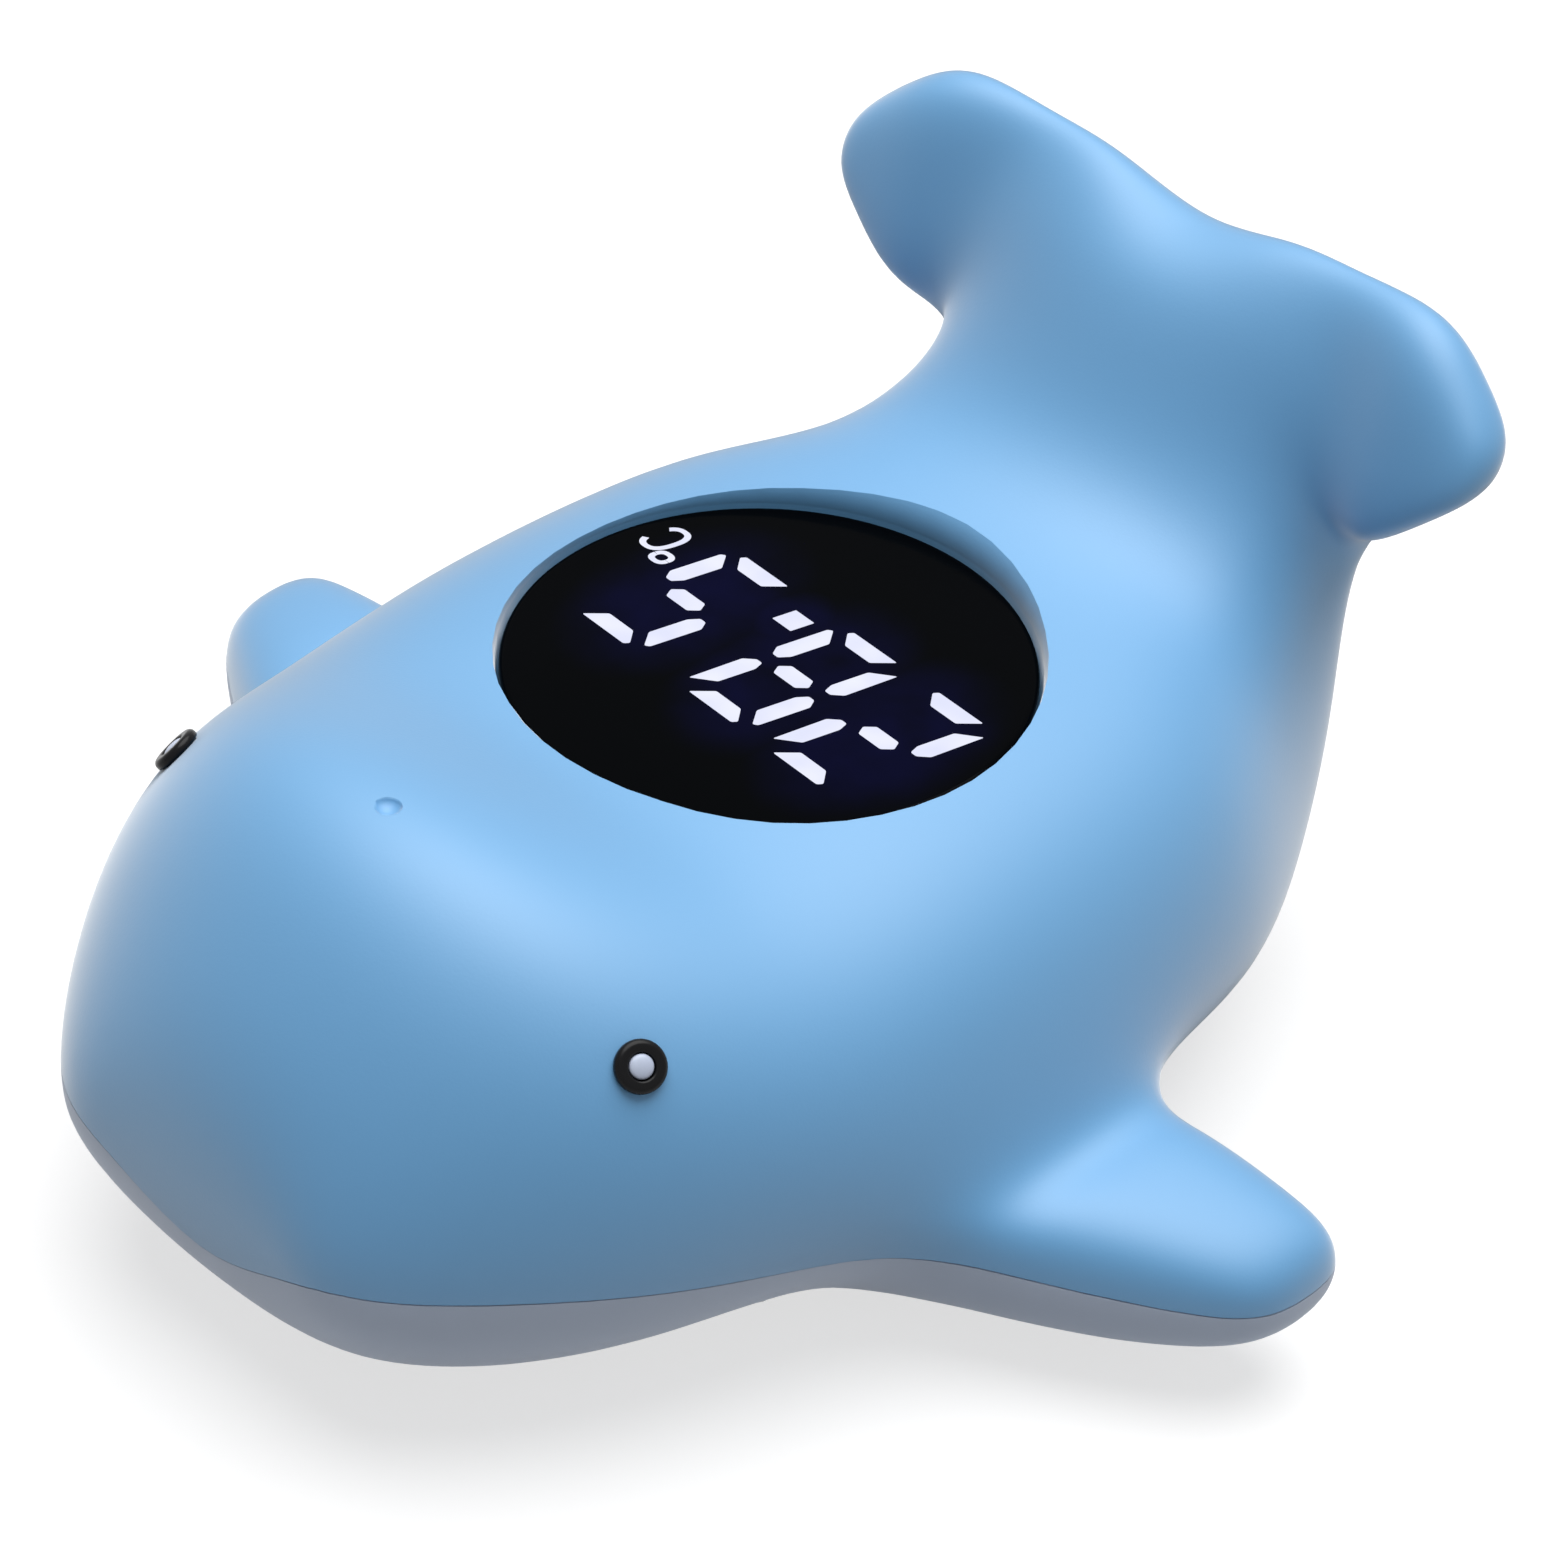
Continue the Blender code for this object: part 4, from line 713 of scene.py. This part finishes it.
def strokeArc(centre, halfX, halfY, stroke, start, end, steps, lean=0.0):
    # the outline of a bent stroke: outer side there, inner side back
    inner, outer, power = -stroke / 2, stroke / 2, digits["letterSquareness"]
    points = []
    for grow, order in ((outer, range(steps + 1)), (inner, range(steps, -1, -1))):
        for i in order:
            angle = math.radians(start + (end - start) * i / steps)
            x = (halfX + grow) * math.copysign(abs(math.cos(angle)) ** power, math.cos(angle))
            y = (halfY + grow) * math.copysign(abs(math.sin(angle)) ** power, math.sin(angle))
            points.append((centre[0] + x + lean * y, centre[1] + y))
    return points


def makeUnit():
    # the degree ring is two half rings, each a little short of a half turn
    lean = math.tan(math.radians(digits["slant"]))
    radius, stroke, turn = digits["degreeRadius"], digits["degreeStroke"], digits["degreeTurn"]
    half = [side / 2 - digits["letterStroke"] / 2 for side in digits["letterSize"]]
    opening = digits["letterOpening"]
    parts = [plate(strokeArc(digits["degreeAt"], radius, radius, stroke, start, start + turn,
                             digits["degreeSteps"], lean), 0) for start in (0, 180)]
    parts.append(plate(strokeArc(digits["letterAt"], half[0], half[1], digits["letterStroke"],
                                 opening, 360 - opening, digits["letterSteps"], lean), 0))
    return joinAll(parts)


glowSpots = []
for middle in digits["middles"]:
    spot = textPoint(middle, digits["rise"])
    glowSpots.append((spot.x, spot.y, *digits["glow"]))
spot = textPoint(*digits["pointAt"])
glowSpots.append((spot.x, spot.y, *digits["pointGlow"]))
smoked = smokedAcrylic("smokedAcrylic", {
    "colour": "#010203", "deepColour": "#020305", "hazeSize": 9, "roughness": 0.1, "specular": 0.012,
    "glow": "#06062A", "glowSpots": glowSpots, "glowFade": (0.55, 1.25), "cloudSize": 5,
    "cloudRange": (0.3, 0.7, 0.35, 1.0)})
litBar = litBarFinish("litLedDiffuser", {
    "bright": "#ECEEFC", "dim": "#D6DAF4", "patchSize": 2.2, "strength": 1.0})
dress(makeWindow(), "smokedWindow", smoked, "smoked_window", "display_window")
dress(makeDigits(), "litDigits", litBar, "white_plastic")
dress(makeUnit(), "litUnit", litBar, "white_plastic")
print("window and digits ready")


# Eyes, a black ring cap with a pale centre pin, each on the skin at its own slope

eyes = {"at": (22.7, -34.9, 30.6), "radius": 1.82, "hole": 0.93, "proud": 0.45, "clear": 0.3, "seat": 0.02,
        "stem": 1.8, "stemRadius": 1.3, "shoulder": 0.2, "crown": 0.86, "lip": 0.12, "lipDrop": 0.1,
        "round": 0.16, "pinRadius": 0.85, "pinDome": 0.26, "pinChamfer": 0.1, "sides": 64, "pinSides": 48,
        "domeSteps": 6, "sharpAngle": 50}


def skinFrame(aim):
    place, normal, _, _ = skinTree.find_nearest(Vector(aim) * mm)
    return Matrix.Translation(place) @ normal.to_track_quat("Z", "Y").to_matrix().to_4x4()


def spun(profile, sides, place):
    # a profile of (radius, z) points, drawn as an edge chain and spun round Z
    deselect()
    bpy.ops.mesh.primitive_circle_add(vertices=len(profile), fill_type="NOTHING")
    piece = bpy.context.object
    closed = profile[0][0] > 0 and profile[-1][0] > 0
    for vert, (radius, z) in zip(piece.data.vertices, profile):
        vert.co = Vector((radius, 0, z)) * mm
    activate(piece)
    bpy.ops.object.mode_set(mode="EDIT")
    if not closed:
        bpy.ops.mesh.select_all(action="DESELECT")
        bpy.ops.mesh.select_mode(type="EDGE")
        bpy.ops.object.mode_set(mode="OBJECT")
        last = len(profile) - 1
        for edge in piece.data.edges:
            edge.select = set(edge.vertices) == {0, last}
        bpy.ops.object.mode_set(mode="EDIT")
        bpy.ops.mesh.delete(type="EDGE_FACE")
    bpy.ops.mesh.select_all(action="SELECT")
    bpy.ops.mesh.spin(steps=sides, angle=2 * math.pi, center=(0, 0, 0), axis=(0, 0, 1))
    bpy.ops.mesh.select_all(action="SELECT")
    bpy.ops.mesh.remove_doubles(threshold=weld)
    bpy.ops.mesh.normals_make_consistent(inside=False)
    bpy.ops.object.mode_set(mode="OBJECT")
    piece.matrix_world = place
    return settle(piece)


def rounded(corners, radius, steps=4):
    # rounds the inner corners of a profile with short arcs
    points = [corners[0]]
    for before, corner, after in zip(corners, corners[1:], corners[2:]):
        a, b, c = Vector(before), Vector(corner), Vector(after)
        reach = min(radius, (a - b).length * 0.45, (c - b).length * 0.45)
        start, end = b + (a - b).normalized() * reach, b + (c - b).normalized() * reach
        for i in range(steps + 1):
            t = i / steps
            points.append(tuple(start * (1 - t) ** 2 + b * 2 * t * (1 - t) + end * t ** 2))
    points.append(corners[-1])
    return points


def makeEye(side):
    x, y, z = eyes["at"]
    place = skinFrame((side * x, y, z))
    low, top, foot = eyes["clear"], eyes["clear"] + eyes["proud"], -eyes["stem"]
    ring = [(eyes["hole"], foot), (eyes["stemRadius"], foot), (eyes["stemRadius"], eyes["seat"]),
            (eyes["radius"], eyes["seat"]), (eyes["radius"], low + eyes["shoulder"]),
            (eyes["radius"] * eyes["crown"], top), (eyes["hole"] + eyes["lip"], top),
            (eyes["hole"], top - eyes["lipDrop"]), (eyes["hole"], foot)]
    cap = smooth(spun(rounded(ring, eyes["round"])[:-1], eyes["sides"], place), eyes["sharpAngle"])
    domeFrom = top - eyes["shoulder"]
    pin = [(0, foot), (eyes["pinRadius"] - eyes["pinChamfer"], foot), (eyes["pinRadius"], domeFrom)]
    for i in range(eyes["domeSteps"] + 1):
        turn = math.radians(90 * i / eyes["domeSteps"])
        pin.append((eyes["pinRadius"] * math.cos(turn), domeFrom + eyes["pinDome"] * math.sin(turn)))
    pin[-1] = (0, pin[-1][1])
    return cap, smooth(spun(pin, eyes["pinSides"], place), eyes["sharpAngle"])


for side, name in ((1, "left"), (-1, "right")):
    cap, pin = makeEye(side)
    dress(cap, name + "EyeRing", eyeBlack, "black_plastic", name + "_eye")
    dress(pin, name + "EyeCentre", eyeCentreWhite, "white_plastic", name + "_pupil")
print("eyes ready")


# Screws that show under the belly, each with its cross recess

drive = {"span": 2.2, "width": 0.5, "depth": 0.75, "screws": (
    "cover_screw", "case_screw_1", "case_screw_2", "case_screw_3", "case_screw_4")}


def makeScrew(nodeName):
    low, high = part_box(nodeName)
    place = ((low[0] + high[0]) / 2, (low[1] + high[1]) / 2, low[2])
    piece = bpy.data.objects.new(nodeName + "Cross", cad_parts[nodeName].data.copy())
    bpy.context.scene.collection.objects.link(piece)
    closeUp(piece)
    for width, span in ((drive["width"], drive["span"]), (drive["span"], drive["width"])):
        deselect()
        bpy.ops.mesh.primitive_cube_add(size=1, location=place)
        slot = bpy.context.object
        slot.scale = (width * mm, span * mm, drive["depth"] * 2 * mm)
        carve(piece, settle(slot))
    return smooth(piece, 30)


for nodeName in drive["screws"]:
    words = nodeName.split("_")
    name = words[0] + "".join(word.capitalize() for word in words[1:])
    dress(makeScrew(nodeName), name, satinSteel, "stainless_steel", nodeName)
print("screws ready")


# The CAD pieces that keep their own shape get their finishes

def finishNodes(finish, *names):
    for name in names:
        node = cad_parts[name]
        node.data.materials.clear()
        node.data.materials.append(finish)


finishNodes(satinSteel, "sensor_cap", "water_contact_left", "water_contact_right",
            *["board_screw_%d" % i for i in (1, 2, 3, 4)])
finishNodes(nickel, "contact_bridge", "positive_plate", "negative_plate", "bridge_spring", "negative_spring")
finishNodes(cellJacket, "battery_left", "battery_right")
finishNodes(siliconeGrey, "window_gasket", "battery_seal")
finishNodes(whiteNylon, "led_display", "sensor_socket", "battery_socket", "sensor_lead")
finishNodes(solderGreen, "display_board")
finishNodes(eyeBlack, "control_chip", "thermistor")
finishNodes(redInsulation, "positive_lead")
finishNodes(blackInsulation, "negative_lead")

# Studio: a white floor that keeps the shadow, a large soft light above and a pale surround

studio = {  # the lamp's size and places and the floor's size are metres here
    "surround": 0.13, "topPower": 9.4, "topSize": 0.9, "topAt": (-0.03, 0.11, 0.75), "topAim": (0, 0, 0.03),
    "floorColour": "#A6A6A6", "floorLift": 0.68, "floorRoughness": 0.9, "floorSpecular": 0.1,
    "floorSize": 8, "floorDrop": 0.02}


def seenRays(tree):
    # 1 for rays straight from the camera, or by way of a mirror or of glass
    path = addNode(tree, "ShaderNodeLightPath")
    mirrored = addNode(tree, "ShaderNodeMath", {"operation": "MAXIMUM"},
                       {0: path.outputs["Is Glossy Ray"], 1: path.outputs["Is Transmission Ray"]})
    return addNode(tree, "ShaderNodeMath", {"operation": "MAXIMUM"},
                   {0: path.outputs["Is Camera Ray"], 1: mirrored.outputs[0]}).outputs[0]


def addFloor():
    deselect()
    bpy.ops.mesh.primitive_plane_add(size=studio["floorSize"], location=(0, 0, -studio["floorDrop"] * mm))
    floor = settle(bpy.context.object)
    floor.name = "studioFloor"
    finish, tree, shader = newMaterial("whiteSweep")
    shader.inputs["Base Color"].default_value = linear(studio["floorColour"])
    shader.inputs["Roughness"].default_value = studio["floorRoughness"]
    shader.inputs["Specular IOR Level"].default_value = studio["floorSpecular"]
    seen = addNode(tree, "ShaderNodeMath", {"operation": "MULTIPLY", 1: studio["floorLift"]},
                   {0: seenRays(tree)})
    glow = addNode(tree, "ShaderNodeEmission", {"Color": (1, 1, 1, 1)}, {"Strength": seen.outputs[0]})
    both = addNode(tree, "ShaderNodeAddShader", {}, {0: shader.outputs[0], 1: glow.outputs[0]})
    tree.links.new(both.outputs[0], tree.nodes["Material Output"].inputs["Surface"])
    floor.data.materials.append(finish)


def addSurround():
    world = bpy.data.worlds.new("studioSurround")
    bpy.context.scene.world = world
    world.use_nodes = True
    tree = world.node_tree
    backdrop = tree.nodes["Background"]
    level = addNode(tree, "ShaderNodeMapRange", {3: studio["surround"], 4: 1.0}, {0: seenRays(tree)})
    backdrop.inputs["Color"].default_value = (1, 1, 1, 1)
    tree.links.new(level.outputs[0], backdrop.inputs["Strength"])


def addSoftLight():
    deselect()
    bpy.ops.object.light_add(type="AREA", location=studio["topAt"])
    lamp = bpy.context.object
    lamp.name = "topSoftbox"
    lamp.data.shape = "DISK"
    lamp.data.size = studio["topSize"]
    lamp.data.energy = studio["topPower"]
    toward = Vector(studio["topAim"]) - Vector(studio["topAt"])
    lamp.rotation_euler = toward.to_track_quat("-Z", "Y").to_euler()


addFloor()
addSurround()
addSoftLight()
bpy.data.objects.remove(skin, do_unlink=True)

bpy.context.scene.view_settings.view_transform = "Standard"
